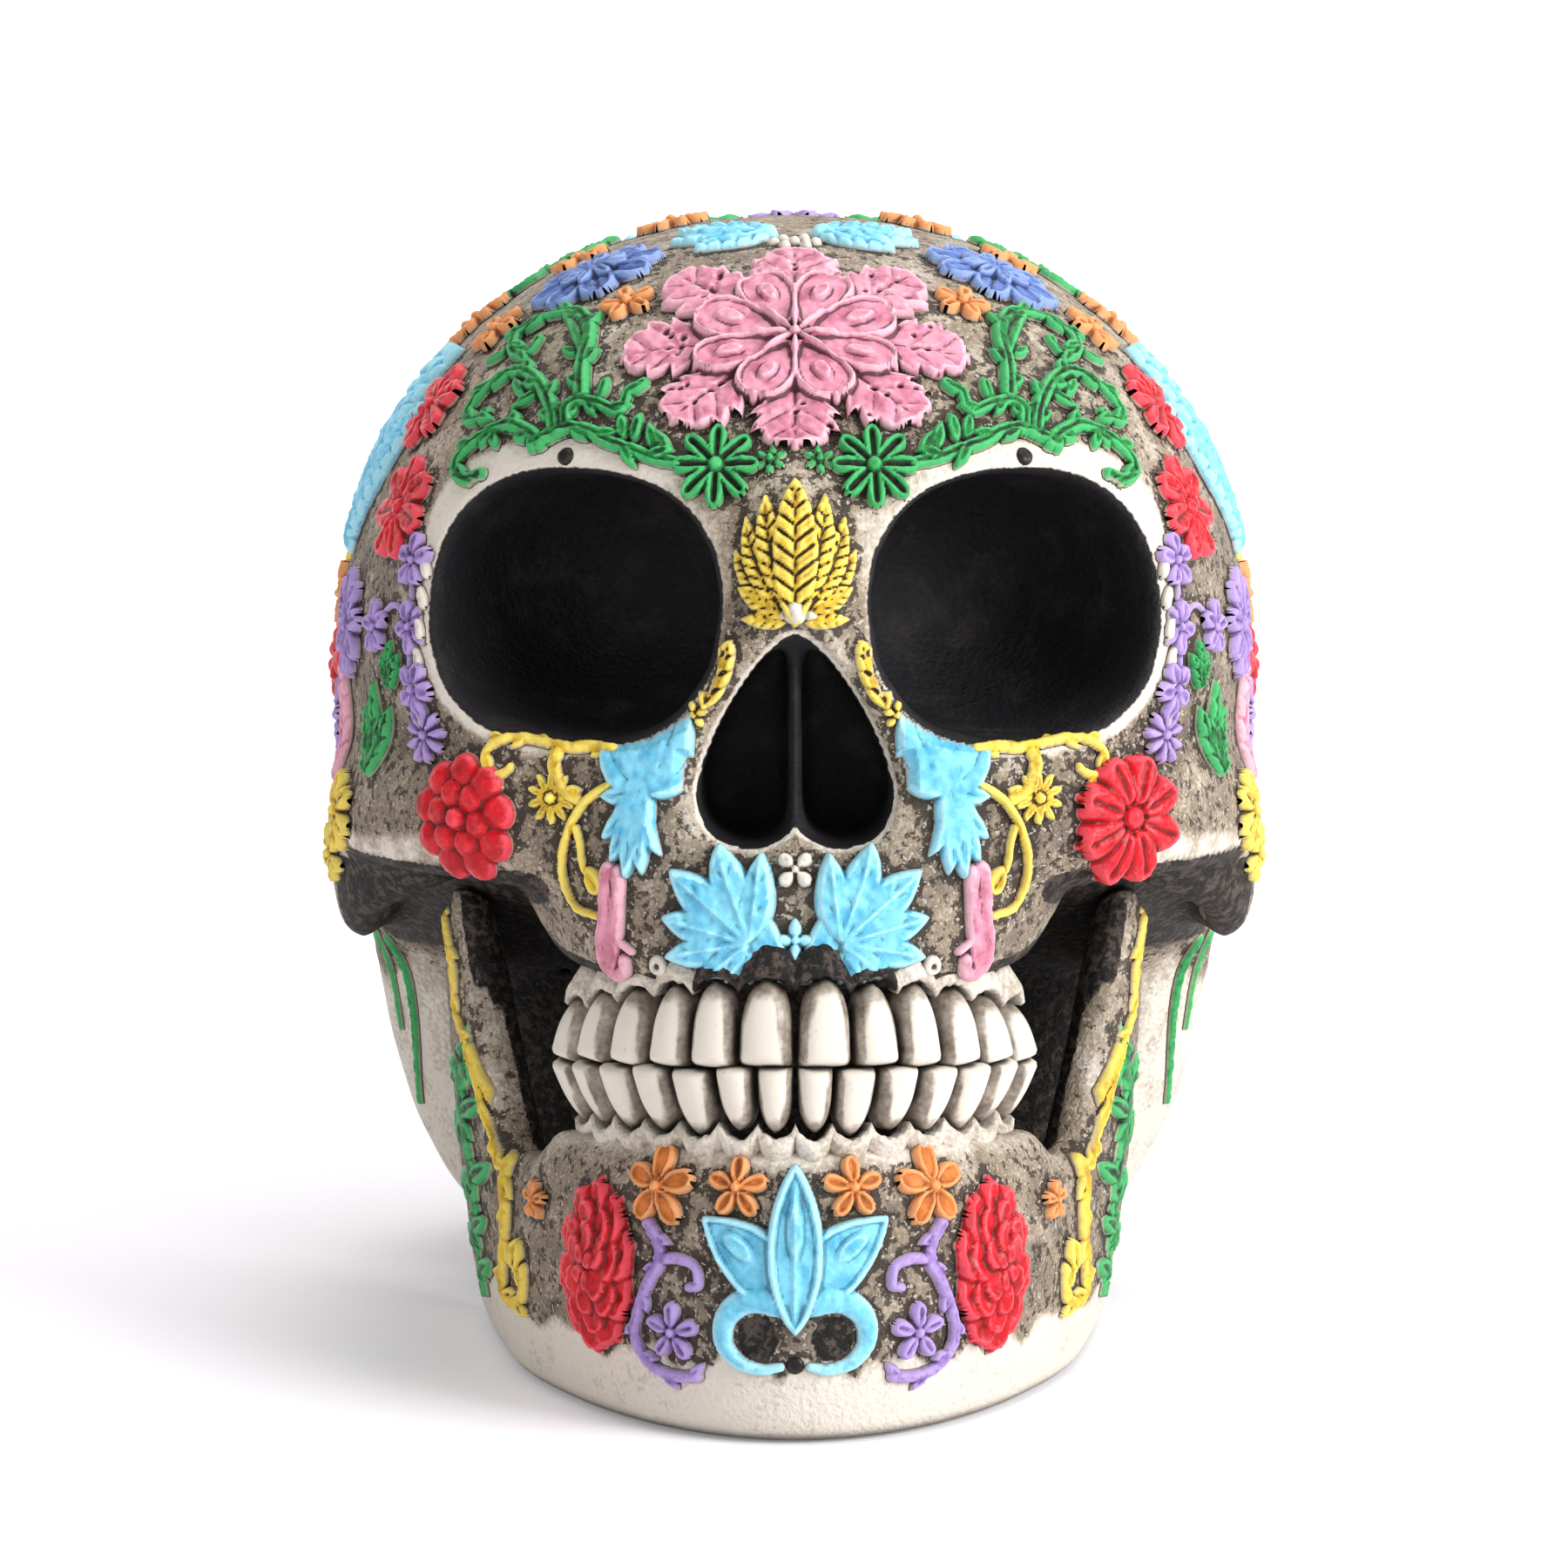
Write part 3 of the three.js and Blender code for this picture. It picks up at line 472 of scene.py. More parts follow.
def ranged(tree, value, low, high, to_low=0.0, to_high=1.0):
    """A value's run from low to high, mapped softly to another run."""
    made = node(tree, "ShaderNodeMapRange", {"Value": value, "From Min": low, "From Max": high,
                                             "To Min": to_low, "To Max": to_high},
                interpolation_type="SMOOTHSTEP")
    return made.outputs["Result"]


def summed(tree, first, second, operation="ADD"):
    """Two values joined, by addition unless told otherwise."""
    return node(tree, "ShaderNodeMath", {0: first, 1: second}, operation=operation).outputs[0]


def scaled(tree, first, second):
    """One value times another."""
    return summed(tree, first, second, "MULTIPLY")


def wobbled(tree, value, pattern, amount):
    """A value pushed up and down by a pattern about its middle."""
    return summed(tree, value, scaled(tree, summed(tree, pattern, 0.5, "SUBTRACT"), amount))


def washed(tree, colour, value, low, high, tint, most=1.0):
    """A colour that goes over to a tint, by most at the most, as a value runs from low to high."""
    return mixed(tree, ranged(tree, value, low, high, 0.0, most), colour, linear(tint))


def attribute(tree, name):
    """What a piece's points carry under a name."""
    return node(tree, "ShaderNodeAttribute", attribute_name=name).outputs["Fac"]


def grain(tree, size, detail=3.0, rough=0.55):
    """Noise whose marks are about size millimetres across."""
    place = node(tree, "ShaderNodeTexCoord").outputs["Object"]
    return node(tree, "ShaderNodeTexNoise", {"Vector": place, "Scale": 1 / (size * MM), "Detail": detail,
                                             "Roughness": rough}).outputs["Fac"]


def shade_in_hollows(tree, far):
    """How open each place is to what lies within far millimetres of it; the paints darken by it as
    painted shade in hollows.
    """
    return node(tree, "ShaderNodeAmbientOcclusion", {"Distance": far * MM}, samples=6).outputs["AO"]


def bumps(tree, height, strength, deep):
    """Fine unevenness, deep in millimetres, that only the light sees."""
    look = {"Height": height, "Strength": strength, "Distance": deep * MM}
    return node(tree, "ShaderNodeBump", look).outputs["Normal"]


def acrylic(name, base, light, deep, gloss, wash, bare="#B3A797"):
    """Brushed acrylic over resin: paler on crests, dry-brush wear and painted highlight, bare resin on
    worn walls, dark wash in grooves, painted shade at each motif's foot and in its hollows.
    """
    material, tree, shader = blank(name)
    brush = grain(tree, 3.0, 4.0)
    fine = grain(tree, 0.7, 2.0)
    crease = attribute(tree, "crease")
    rise = attribute(tree, "rise")
    colour = washed(tree, linear(deep), brush, 0.3, 0.62, base)
    # Paler paint on the crests: dry-brush wear and painted highlight.
    worn = scaled(tree, scaled(tree, crease, fine), 2.2)
    colour = washed(tree, colour, worn, 0.03, 0.2, light, 0.75)
    wall = summed(tree, rise, scaled(tree, brush, 0.6), "SUBTRACT")
    colour = washed(tree, colour, wall, 0.3, 0.05, bare, 0.7)
    groove = wobbled(tree, crease, fine, -0.12)
    colour = washed(tree, colour, groove, -0.05, -0.13, "#1E1714", wash)
    # Near-black where each motif meets the ground: dark wash and painted shade.
    colour = washed(tree, colour, rise, 0.32, 0.02, "#1B1512", 0.92)
    # Painted shade in hollows, from ambient occlusion, scaled with the wash.
    colour = washed(tree, colour, shade_in_hollows(tree, 1.6), 0.75, 0.35, "#241C18", 0.75 * wash)
    fill(tree, shader, {"Base Color": colour, "Specular IOR Level": 0.25,
                        "Roughness": ranged(tree, brush, 0.3, 0.7, gloss + 0.1, gloss - 0.08),
                        "Normal": bumps(tree, fine, 0.5, 0.22)})
    return material


def antiqued_shaded_resin():
    """Cast resin under a brown-black wash: bone where wiped clean, clotted brown between motifs, painted
    shade in hollows and under ledges, and dark paint with painted shade inside the mouth.
    """
    material, tree, shader = blank("cast_resin_antiqued_shaded")
    blot = grain(tree, 7.0, 4.0, 0.6)
    clot = grain(tree, 1.5, 5.0, 0.68)
    crumb = grain(tree, 0.8, 2.0)
    clean = attribute(tree, "clean")
    near = ranged(tree, attribute(tree, "gap"), 1.5, 0.5)
    tone = wobbled(tree, wobbled(tree, clean, blot, 1.0), crumb, 0.8)
    ramp = node(tree, "ShaderNodeValToRGB", {"Fac": tone})
    stops = ((0.05, "#4A3F37"), (0.3, "#73675C"), (0.5, "#92836F"), (0.7, "#B9AD9D"), (0.95, "#DED5C8"))
    for place, tint in stops[1:-1]:
        ramp.color_ramp.elements.new(place).color = linear(tint)
    for element, (place, tint) in ((0, stops[0]), (-1, stops[-1])):
        ramp.color_ramp.elements[element].color = linear(tint)
        ramp.color_ramp.elements[element].position = place
    kept = ranged(tree, clean, 0.45, 0.95, 0.0, 0.3)
    held = summed(tree, summed(tree, clot, scaled(tree, near, 0.13)), kept, "SUBTRACT")
    colour = washed(tree, ramp.outputs["Color"], held, 0.53, 0.58, "#241C18", 0.86)
    rough = ranged(tree, clean, 0.95, 0.6)
    chips = scaled(tree, ranged(tree, crumb, 0.39, 0.34, 0.0, 0.75), rough)
    colour = mixed(tree, chips, colour, linear("#C9BEB0"))
    # Dark paint and painted shade from the castings' mask: shade under ledges, dark inside the mouth and
    # jaw.
    dark_paint_and_shade = wobbled(tree, wobbled(tree, attribute(tree, "dark_paint_and_shade"), blot, 0.7), crumb, 0.5)
    dark = washed(tree, linear("#130F0D"), clot, 0.47, 0.6, "#4E433B")
    colour = mixed(tree, ranged(tree, dark_paint_and_shade, 0.35, 0.6), colour, dark)
    black = washed(tree, linear("#151317"), blot, 0.45, 0.75, "#2B2726")
    edge = wobbled(tree, attribute(tree, "hole"), crumb, 0.6)
    colour = mixed(tree, ranged(tree, edge, 0.15, -0.15), colour, black)
    # Painted shade in hollows, from ambient occlusion.
    colour = washed(tree, colour, shade_in_hollows(tree, 5.0), 0.5, 0.2, "#15100E", 0.8)
    fill(tree, shader, {"Base Color": colour, "Roughness": 0.7, "Specular IOR Level": 0.3,
                        "Normal": bumps(tree, summed(tree, crumb, clot, "SUBTRACT"), 0.8, 0.5)})
    return material


def stained_shaded_ivory():
    """Ivory tooth resin: a pale worn face, and brown stain with painted shade down the flanks, round the
    roots and on the back.
    """
    material, tree, shader = blank("tooth_resin_stained_shaded")
    blot = grain(tree, 4.0, 4.0)
    fine = grain(tree, 0.8, 3.0)
    # Darker down the flanks, round the roots and on the back: brown stain and painted shade.
    stain_and_shade_level = wobbled(tree, wobbled(tree, attribute(tree, "root"), blot, 0.6), fine, 0.35)
    colour = washed(tree, linear("#DFD6C8"), stain_and_shade_level, 0.26, 0.78, "#7F7264")
    colour = washed(tree, colour, stain_and_shade_level, 0.66, 1.0, "#2B231E")
    colour = washed(tree, colour, fine, 0.66, 0.75, "#6E6257", 0.35)
    # Painted shade between and behind the teeth, from ambient occlusion.
    colour = washed(tree, colour, shade_in_hollows(tree, 1.8), 0.7, 0.3, "#17120F", 0.9)
    fill(tree, shader, {"Base Color": colour, "Roughness": ranged(tree, blot, 0.3, 0.7, 0.42, 0.58),
                        "Normal": bumps(tree, fine, 0.25, 0.2)})
    return material


class SkullSettings(bpy.types.PropertyGroup):
    """Sizes and finishes of the skull."""

    voxel: bpy.props.FloatProperty(
        name="Skin step", description="Spacing of the castings' skin",
        default=0.95 * MM, unit="LENGTH")
    relief_step: bpy.props.FloatProperty(
        name="Relief step", description="Spacing of the relief's points",
        default=0.28 * MM, unit="LENGTH")
    stipple: bpy.props.FloatProperty(
        name="Stipple", description="Depth of the rough ground between the motifs",
        default=0.22 * MM, unit="LENGTH")
    camera_far: bpy.props.FloatProperty(
        name="Camera distance", description="Distance from the camera to the face's plane",
        default=0.7941, unit="LENGTH")
    camera_high: bpy.props.FloatProperty(
        name="Camera height", description="Height of the camera over the floor",
        default=0.1784, unit="LENGTH")
    camera_pitch: bpy.props.FloatProperty(
        name="Camera pitch", description="How far the camera looks down",
        default=math.radians(7.0), subtype="ANGLE")


class SKULL_OT_castings(bpy.types.Operator):
    """Rebuild the braincase and the lower jaw as even skins"""
    bl_idname = "skull.castings"
    bl_label = "Castings"

    def execute(self, context):
        Relief.step = context.scene.skull.relief_step / MM
        voxel = context.scene.skull.voxel / MM
        castings["cranium"] = Casting("cranium", voxel, passes=36)
        castings["mandible"] = Casting("mandible", voxel, passes=22)
        return {"FINISHED"}


class SKULL_OT_paints(bpy.types.Operator):
    """Mix the acrylic paints of the relief and the antiqued ground"""
    bl_idname = "skull.paints"
    bl_label = "Paints"

    def execute(self, context):
        for colour, base, light, deep, gloss, wash in (
                ("pink", "#DA92A6", "#F0BDCA", "#B5667E", 0.5, 0.8),
                ("sky_blue", "#7FCDE6", "#B4EAF4", "#55ACD0", 0.5, 0.5),
                ("royal_blue", "#5F7BBB", "#93AADB", "#3C5290", 0.5, 0.7),
                ("green", "#107A34", "#4CBB70", "#032A0E", 0.5, 1.0),
                ("red", "#CF0E1D", "#F25562", "#A00A14", 0.34, 0.65),
                ("orange", "#D97E3A", "#EBA870", "#A95C24", 0.5, 0.5),
                ("yellow", "#E1BC34", "#F6E172", "#AE841F", 0.5, 0.95),
                ("lilac", "#9579BB", "#BBA2DA", "#674E86", 0.5, 0.75),
                ("bone", "#CFC5B8", "#E6DED2", "#8C8073", 0.6, 0.8)):
            paints[colour] = acrylic("acrylic_" + colour, base, light, deep, gloss, wash)
        paints["black"] = acrylic("acrylic_black", "#1C1715", "#3A322D", "#100C0B", 0.35, 0.8, "#0E0B0A")
        paints["ground"] = antiqued_shaded_resin()
        return {"FINISHED"}


class SKULL_OT_flowers(bpy.types.Operator):
    """Lay the flower heads, from the large one on the forehead to the small ones of the jaw"""
    bl_idname = "skull.flowers"
    bl_label = "Flowers"

    def execute(self, context):
        large = Relief(24.5, 24.5)
        large.petals(8, 7.0, 23.4, 13.8, 1.7, back=0.85, front=0.46, teeth=5, bite=0.3, rib=0.5, veins=4,
                     vein=0.35, slant=0.9, dip=0.15)
        draw = np.random.default_rng(3)
        for k in range(56):
            branch = draw.integers(0, 3) - 1
            far = draw.uniform(14.0, 20.6)
            angle = math.radians(45 * (k % 8) + branch * 2.1 * (far - 13.0) + draw.uniform(-1.5, 1.5))
            large.pit(far * math.sin(angle), far * math.cos(angle), draw.uniform(0.45, 0.75), 1.0)
        large.petals(8, 1.5, 14.4, 8.8, 3.1, turn=22.5, back=0.8, front=0.36, rim=0.8, hollow=0.7,
                     seed=1.1, edge=0.8)
        large.petals(8, 0.3, 6.8, 1.7, 3.9, back=0.5, front=0.6)
        large.ball(0, 0, 1.2, 4.3)
        large.v = np.where(large.v > 0, 1.12, 0.76) * large.v  # the forehead falls away above its middle
        motif("forehead_flower", "pink", large, ("front", 0, 146.6))
        blue = daisy(10, 8, 0.62, 1.6, 0.14, back=0.7, front=0.42, rib=0.5, rim=0.9, hollow=0.4, edge=0.8)
        blue.petals(8, 0.4, 5.4, 2.6, 2.3, turn=22, back=0.6, front=0.45, rib=0.5)
        motif("crown_flower", "royal_blue", blue, ("top", 28, -31))
        for name, colour, carrier, place, reach, count, share, look in (
                ("brow_flower", "green", "cranium", ("front", 10.6, 131.2), 6.0, 8, 0.48, GROOVED),
                ("temple_flower_upper", "red", "cranium", ("side", -35, 137), 7.0, 6, 0.7, BROAD),
                ("temple_flower_lower", "red", "cranium", ("side", -45, 123.5), 7.8, 7, 0.62, BROAD),
                ("arch_flower", "yellow", "cranium", ("side", -36, 80), 5.6, 6, 0.7, BROAD),
                ("chin_flower_outer", "orange", "mandible", ("front", 18.0, 34.3), 5.6, 5, 0.64, STARRY),
                ("chin_flower_inner", "orange", "mandible", ("front", 7.6, 35.2), 4.2, 5, 0.64, STARRY),
                ("cheek_daisy", "yellow", "cranium", ("front", 32.9, 86.2), 3.7, 10, 0.36, GROOVED),
                ("nose_daisy", "yellow", "cranium", ("front", 13.7, 98.2), 1.9, 5, 0.7, BROAD),
                ("brow_star", "green", "cranium", ("front", 3.2, 132.0), 2.3, 6, 0.5, GROOVED),
                ("jaw_star", "orange", "mandible", ("front", 35.6, 28), 2.9, 5, 0.7, STARRY),
                ("crown_star_front", "orange", "cranium", ("top", 23.1, -46.8), 4.2, 5, 0.7, BROAD),
                ("crown_star_side", "orange", "cranium", ("top", 41.9, -29.9), 4.6, 5, 0.7, BROAD),
                ("crown_star_back", "orange", "cranium", ("top", 31, -11), 4.6, 5, 0.7, BROAD),
                ("arch_bud", "yellow", "cranium", ("side", -22, 72), 4.4, 6, 0.6, BROAD),
                ("temple_panel", "lilac", "cranium", ("side", -30, 106), 8.0, 9, 0.5, BROAD)):
            motif(name, colour, daisy(reach, count, share, 1.6, **look), place, casting=carrier)
        motif("brow_tip", "green", daisy(1.5, 5, 0.6, 1.2), ("front", 0, 134.6))
        star = daisy(3.2, 4, 0.6, 1.4, back=0.5, front=0.8)
        motif("lip_star", "sky_blue", star, ("front", 0, 68.3))
        return {"FINISHED"}


class SKULL_OT_roses(bpy.types.Operator):
    """Lay the full roses of the cheeks and the jaw"""
    bl_idname = "skull.roses"
    bl_label = "Roses"

    def execute(self, context):
        whole = Relief(11, 11)
        whole.petals(8, 1.6, 8.6, 6.5, 2.8, turn=22, back=0.45, front=0.28, rib=0.6, edge=2.0)
        whole.ball(0, 0, 2.1, 3.0)
        motif("cheek_rose", "red", whole, ("front", 45.3, 82.6), {"right": 1})
        clustered = Relief(11, 11)
        clustered.cluster(9, 6.2, 2.7, 2.2)
        clustered.cluster(6, 3.4, 2.4, 2.8, 20)
        clustered.ball(0, 0, 2.0, 3.3)
        motif("cheek_rose", "red", clustered, ("front", 45.3, 82.6), {"left": -1})
        folded = Relief(9, 14)
        wide, tall = folded.u, folded.v
        # A round rose, drawn out into an oval up the jaw's wall
        folded.u, folded.v = wide / 1.5, tall / 2.3
        fold = dict(back=0.5, front=0.3, tilt=1.2, edge=0.6)
        folded.petals(10, 1.6, 5.1, 3.5, 1.8, bend=0.08, rib=0.35, **fold)
        folded.petals(8, 1.0, 4.0, 3.1, 2.5, turn=18, bend=0.1, rib=0.3, **fold)
        folded.petals(6, 0.5, 2.8, 2.6, 3.1, turn=7, bend=0.1, **fold)
        folded.petals(4, 0.1, 1.5, 1.7, 3.5, turn=30, back=0.5, front=0.3, edge=0.5)
        folded.u, folded.v = wide, tall
        motif("jaw_rose", "red", folded, ("front", 26.6, 21.8), casting="mandible")
        return {"FINISHED"}


class SKULL_OT_leaves(bpy.types.Operator):
    """Lay the leaf forms: plume, bow, wings, acanthus, lip leaves and lotus"""
    bl_idname = "skull.leaves"
    bl_label = "Leaves"

    def execute(self, context):
        plume = Relief(11, 17)
        herring = dict(rib=0.6, veins=9, vein=0.75, slant=0.8, edge=0.6)
        for side in (1, -1):
            plume.leaf((side * 1.0, -3.4), (side * 7.4, -3.0), 2.6, 1.0, veins=5, vein=0.5)
            plume.leaf((side * 1.4, -3), (side * 7.8, 1.4), 3.2, 1.1, veins=6, vein=0.5)
            plume.leaf((side * 1.8, -2), (side * 8.2, 6.6), 3.6, 1.2, bend=-0.06 * side, **herring)
            plume.leaf((side * 1.6, -2), (side * 6.6, 11.0), 4.0, 1.5, bend=-0.06 * side, **herring)
            plume.leaf((side * 1.0, -1.5), (side * 3.9, 14.0), 4.4, 1.8, bend=-0.04 * side, **herring)
        plume.leaf((0, -4), (0, 15.8), 6.2, 2.3, back=0.6, front=0.7, **herring)
        motif("nose_plume", "yellow", plume, ("front", 0, 114.5))
        bow = Relief(12, 10)
        vein = dict(rib=0.5, veins=5, vein=0.4, slant=0.7)
        bow.leaf((-5, 0), (8.5, 6.0), 7.5, 1.7, **vein)
        bow.leaf((-5, -1), (9.5, -1.5), 7.0, 1.5, **vein)
        bow.leaf((-5, -2), (6.0, -7.5), 6.0, 1.3, **vein)
        bow.ball(-4.5, -0.5, 1.8, 2.0)
        motif("crown_leaf", "sky_blue", bow, ("top", 8.5, -25))
        wing = Relief(24, 24)
        feather = dict(rib=0.5, veins=9, vein=0.5, slant=0.35, back=0.6, front=0.7)
        for tip, wide in (((-17, 9), 9), ((-7, 18), 10), ((7, 18), 10), ((17, 8), 9)):
            wing.leaf((0, -14), tip, wide, 1.8, **feather)
        wing.ball(0, -13, 3.0, 2.2)
        motif("side_wing", "sky_blue", wing, ("side", -16, 130))
        acanthus = Relief(10, 16)
        lobe = dict(rib=0.35, edge=1.1, back=0.5, front=0.7)
        for tip, wide, bend in (((-4.6, 13), 6.6, 0.06), ((-0.6, 12.0), 5.6, 0.0),
                                ((2.9, 10.8), 5.6, 0.0), ((6.5, 6.8), 6.0, -0.06),
                                ((-6.0, 5.4), 5.0, 0.1), ((6.8, -1.6), 4.0, -0.14),
                                ((6.2, -7.4), 4.6, -0.1), ((4.8, -10.8), 4.6, -0.04),
                                ((2.4, -12.8), 4.8, 0.0), ((0.0, -12.2), 4.4, 0.04),
                                ((-2.8, -9.6), 3.4, 0.14)):
            acanthus.leaf((0, -1.2 if tip[1] > 0 else 1.2), tip, wide, 1.9, bend=bend, **lobe)
        acanthus.leaf((0, -1.5), (1.0, 9.0), 8.5, 1.7, back=0.5, front=0.4, veins=3, vein=0.25)
        motif("nose_leaf", "sky_blue", acanthus, ("front", 20, 88.4))
        lip = Relief(13, 15)
        lip.leaf((-9.0, -7.0), (3.6, 5.2), 10.5, 1.6, back=0.75, front=0.4, rib=0.3)
        for tip, wide in (((8.0, 8.6), 6.6), ((1.8, 12.2), 6.4), ((-4.6, 11.2), 5.4), ((9.0, 2.2), 5.8),
                          ((8.4, -3.2), 5.2), ((3.6, -6.8), 4.8)):
            lip.leaf((-3.6, -1.2), tip, wide, 2.0, rib=-0.35, back=0.6, front=0.8, edge=1.0, veins=3,
                     vein=0.2)
        motif("lip_leaf", "sky_blue", lip, ("front", 9.4, 69))
        lotus = Relief(14, 19)
        outline = dict(rim=0.8, hollow=0.55, seed=1.2, edge=0.6)
        for side in (1, -1):
            lotus.leaf((side * 1.6, -8.5), (side * 12.4, 3.6), 8.8, 1.7, bend=0.08 * side, **outline)
            lotus.stroke([(side * 2.0, -7.6), (side * 6.0, -7.4), (side * 9.0, -9.6),
                          (side * 9.6, -13.2), (side * 7.6, -16.0), (side * 4.6, -17.0),
                          (side * 2.0, -16.6)], 4.4, 2.0, end=0.3)
        lotus.leaf((0, -12.0), (0, 10.8), 7.8, 2.4, back=0.7, front=0.75, rim=1.0, hollow=0.6, seed=1.2,
                   rib=-0.4)
        motif("chin_lotus", "sky_blue", lotus, ("front", 0, 27.8), casting="mandible")
        sprig = Relief(8, 9)
        for tip in ((-5.0, 4.5), (0.5, 7.8), (5.2, 3.6)):
            sprig.leaf((0, -6.5), tip, 4.2, 1.5, rib=0.6, veins=4, vein=0.3)
        motif("temple_leaf", "green", sprig, ("side", -45, 92))
        motif("temple_leaf_small", "green", sprig, ("side", -51, 102), size=0.5)
        panel = Relief(5, 10)
        panel.leaf((0, -9), (0.5, 9), 7.0, 1.4, back=0.5, front=0.5, rib=0.6, veins=5, vein=0.4)
        motif("temple_petal", "pink", panel, ("side", -26, 91))
        bit = Relief(5, 7)
        bit.leaf((2.4, -4.8), (-2.0, 4.6), 3.8, 1.3, back=0.5, front=0.5, rim=0.7, hollow=0.6, veins=4,
                 vein=0.8)
        motif("nose_panel", "yellow", bit, ("front", 10.2, 103.8))
        return {"FINISHED"}


class SKULL_OT_scrolls(bpy.types.Operator):
    """Lay the scrolls and vines of the brows, temples, cheeks and jaw"""
    bl_idname = "skull.scrolls"
    bl_label = "Scrolls"

    def execute(self, context):
        brow = Relief(25, 20)
        for line, wide in (
                ([(-6, 1), (-3, 6), (-1, 10.5), (1.5, 14), (6.5, 17.3), (11.5, 17.2), (15, 15.2),
                  (16, 13), (14.5, 10.5), (12, 8.8), (9.5, 9), (9.5, 11.5)], 2.5),
                ([(-4.5, -5), (-2.5, -2), (0.5, 1), (5, 4), (9, 5), (12, 4), (14, 2), (15, -0.5),
                  (14.6, -2.5), (12.5, -3.2), (10.3, -2)], 2.4),
                ([(-3, -7), (0, -5.6), (4, -4.5), (7.5, -5.4), (10, -7), (12, -9.2),
                  (11.8, -11.3), (9, -12.5), (6.3, -11.7)], 2.4),
                ([(-2, -7.4), (-6.3, -4.6), (-9.5, -4.2), (-13, -5.2), (-17, -5.6), (-20, -5.8),
                  (-23, -5.4)], 2.3),
                ([(-6, -4), (-5, -1.7), (-6, 0), (-9.6, 0), (-12.4, -0.5), (-13, 0.5), (-12.7, 3),
                  (-13.8, 5)], 2.1)):
            brow.stroke(line, wide + 0.3, 1.8, end=0.7, groove=0.5, leafy=4.2)
        brow.leaf((-2.5, 7), (9, 16.5), 3.8, 1.5, bend=0.12, rib=0.4)
        for tip, base in (((-13, -0.4), (-15.4, -4.6)), ((-15.6, 0.6), (-16.6, -4.6)),
                          ((-17.2, -0.6), (-20.2, -5.2)), ((-8, 5.2), (-9.2, 0.4)),
                          ((6, -2), (1.2, 1.2)), ((14.8, 10.4), (19, 8)), ((-6, -4.6), (-5.6, 2.6)),
                          ((3.4, 9.6), (-0.6, 8)), ((4.2, 0.2), (8.4, 3.6)), ((4.6, -8.4), (7.4, -5.4)),
                          ((-18.6, -1.4), (-22, -5))):
            brow.leaf(base, tip, 2.2, 1.3, rib=0.3)
        motif("brow_scroll", "green", brow, ("front", 34, 139.3))
        spray = Relief(13, 18)
        spray.stroke([(-5, -15), (-3, -6), (-3, 2), (-1, 11)], 1.3, 0.9, end=0.7)
        spray.stroke([(-3, 2), (3, 4.5), (9, 1)], 1.1, 0.9, end=0.7)
        for u, v, turn in ((-1.5, 11, 0), (-3.5, 2, 30), (8.5, 1, 10), (-4.5, -6.5, 50)):
            spray.petals(5, 0.4, 4.0, 3.0, 1.5, turn=turn, u=u, v=v, back=0.7, front=0.5, rib=0.3)
            spray.ball(u, v, 0.9, 1.8)
        spray.petals(9, 0.6, 4.2, 1.8, 1.4, u=-6, v=-12.8, back=0.6, front=0.4)
        spray.ball(-6, -12.8, 1.0, 1.7)
        motif("temple_spray", "lilac", spray, ("side", -53, 106))
        cheek = Relief(9, 13)
        cheek.stroke([(-6.1, 8.7), (-3.4, 7.3), (-1.2, 5.7), (0.5, 3.3), (1.6, 0.7), (2.4, -1.7),
                      (2.6, -4.4), (2, -7.1), (0.3, -9.2), (-3.5, -9.8)], 1.5, 1.4, end=0.8)
        cheek.stroke([(0.2, 2.1), (-0.4, 0), (-0.6, -1.9), (-1.2, -3.7), (-2.4, -4.6)], 1.3, 1.2, end=0.8)
        cheek.leaf((-1.4, -3.0), (-4.0, -6.6), 3.4, 1.5, back=0.9, front=0.5, rib=0.3)
        motif("cheek_scroll", "yellow", cheek, ("front", 29.4, 80.2))
        chin = Relief(9, 13)
        chin.stroke([(2.1, 10.7), (0.3, 8.5), (-0.2, 5.8), (1.3, 3.5), (2.9, 0.2), (4.5, -3.8),
                     (3.8, -6.8), (0.9, -9.2), (-2.7, -9.8), (-6, -9.4)], 2.2, 1.5, end=0.8, leafy=4.6)
        chin.stroke([(0.2, 6.1), (-3.4, 6.5), (-5.9, 5.6), (-6.4, 3.3), (-5, 2.8)], 1.8, 1.3, end=0.8)
        chin.petals(5, 0.4, 4.2, 2.6, 1.6, u=-2.4, v=-3.6, back=0.6, front=0.4, rib=0.4)
        chin.ball(-2.4, -3.6, 0.9, 1.9)
        motif("chin_scroll", "lilac", chin, ("front", 18.2, 18.5), casting="mandible")
        vine = Relief(8, 24)
        vine.stroke([(-3, 22), (-1, 15), (1, 8), (-1, -2), (1, -11), (0, -19)], 2.6, 1.4, end=0.6,
                    leafy=2.6)
        for base, tip in (((-1, 16), (-6, 20)), ((0, 11), (5, 15)), ((1, 7), (-4.5, 11)),
                          ((0, 2), (5, 6.5)), ((-1, -2), (-5.5, 2)), ((0, -6), (5, -2)),
                          ((1, -10), (-4, -6.5)), ((0.5, -13), (4.5, -10)), ((0, -16), (-4, -13))):
            vine.leaf(base, tip, 3.0, 1.3, rib=0.4)
        vine.u = 2.0 * vine.u  # the jaw turns away from the face here
        motif("jaw_vine", "green", vine, ("side", -33, 28), casting="mandible")
        eye = Relief(14, 9)
        eye.stroke([(-8, 0.1), (-4.7, 0.5), (-2, 0.1), (0, 0.3), (4.3, 1.1), (6.3, 1.2), (8.9, 0.9),
                    (11.2, -0.3), (11.6, -1.8), (10.7, -3.4), (8.8, -3.5), (7.4, -2.7)], 1.9, 1.3,
                   end=0.7, leafy=3.2)
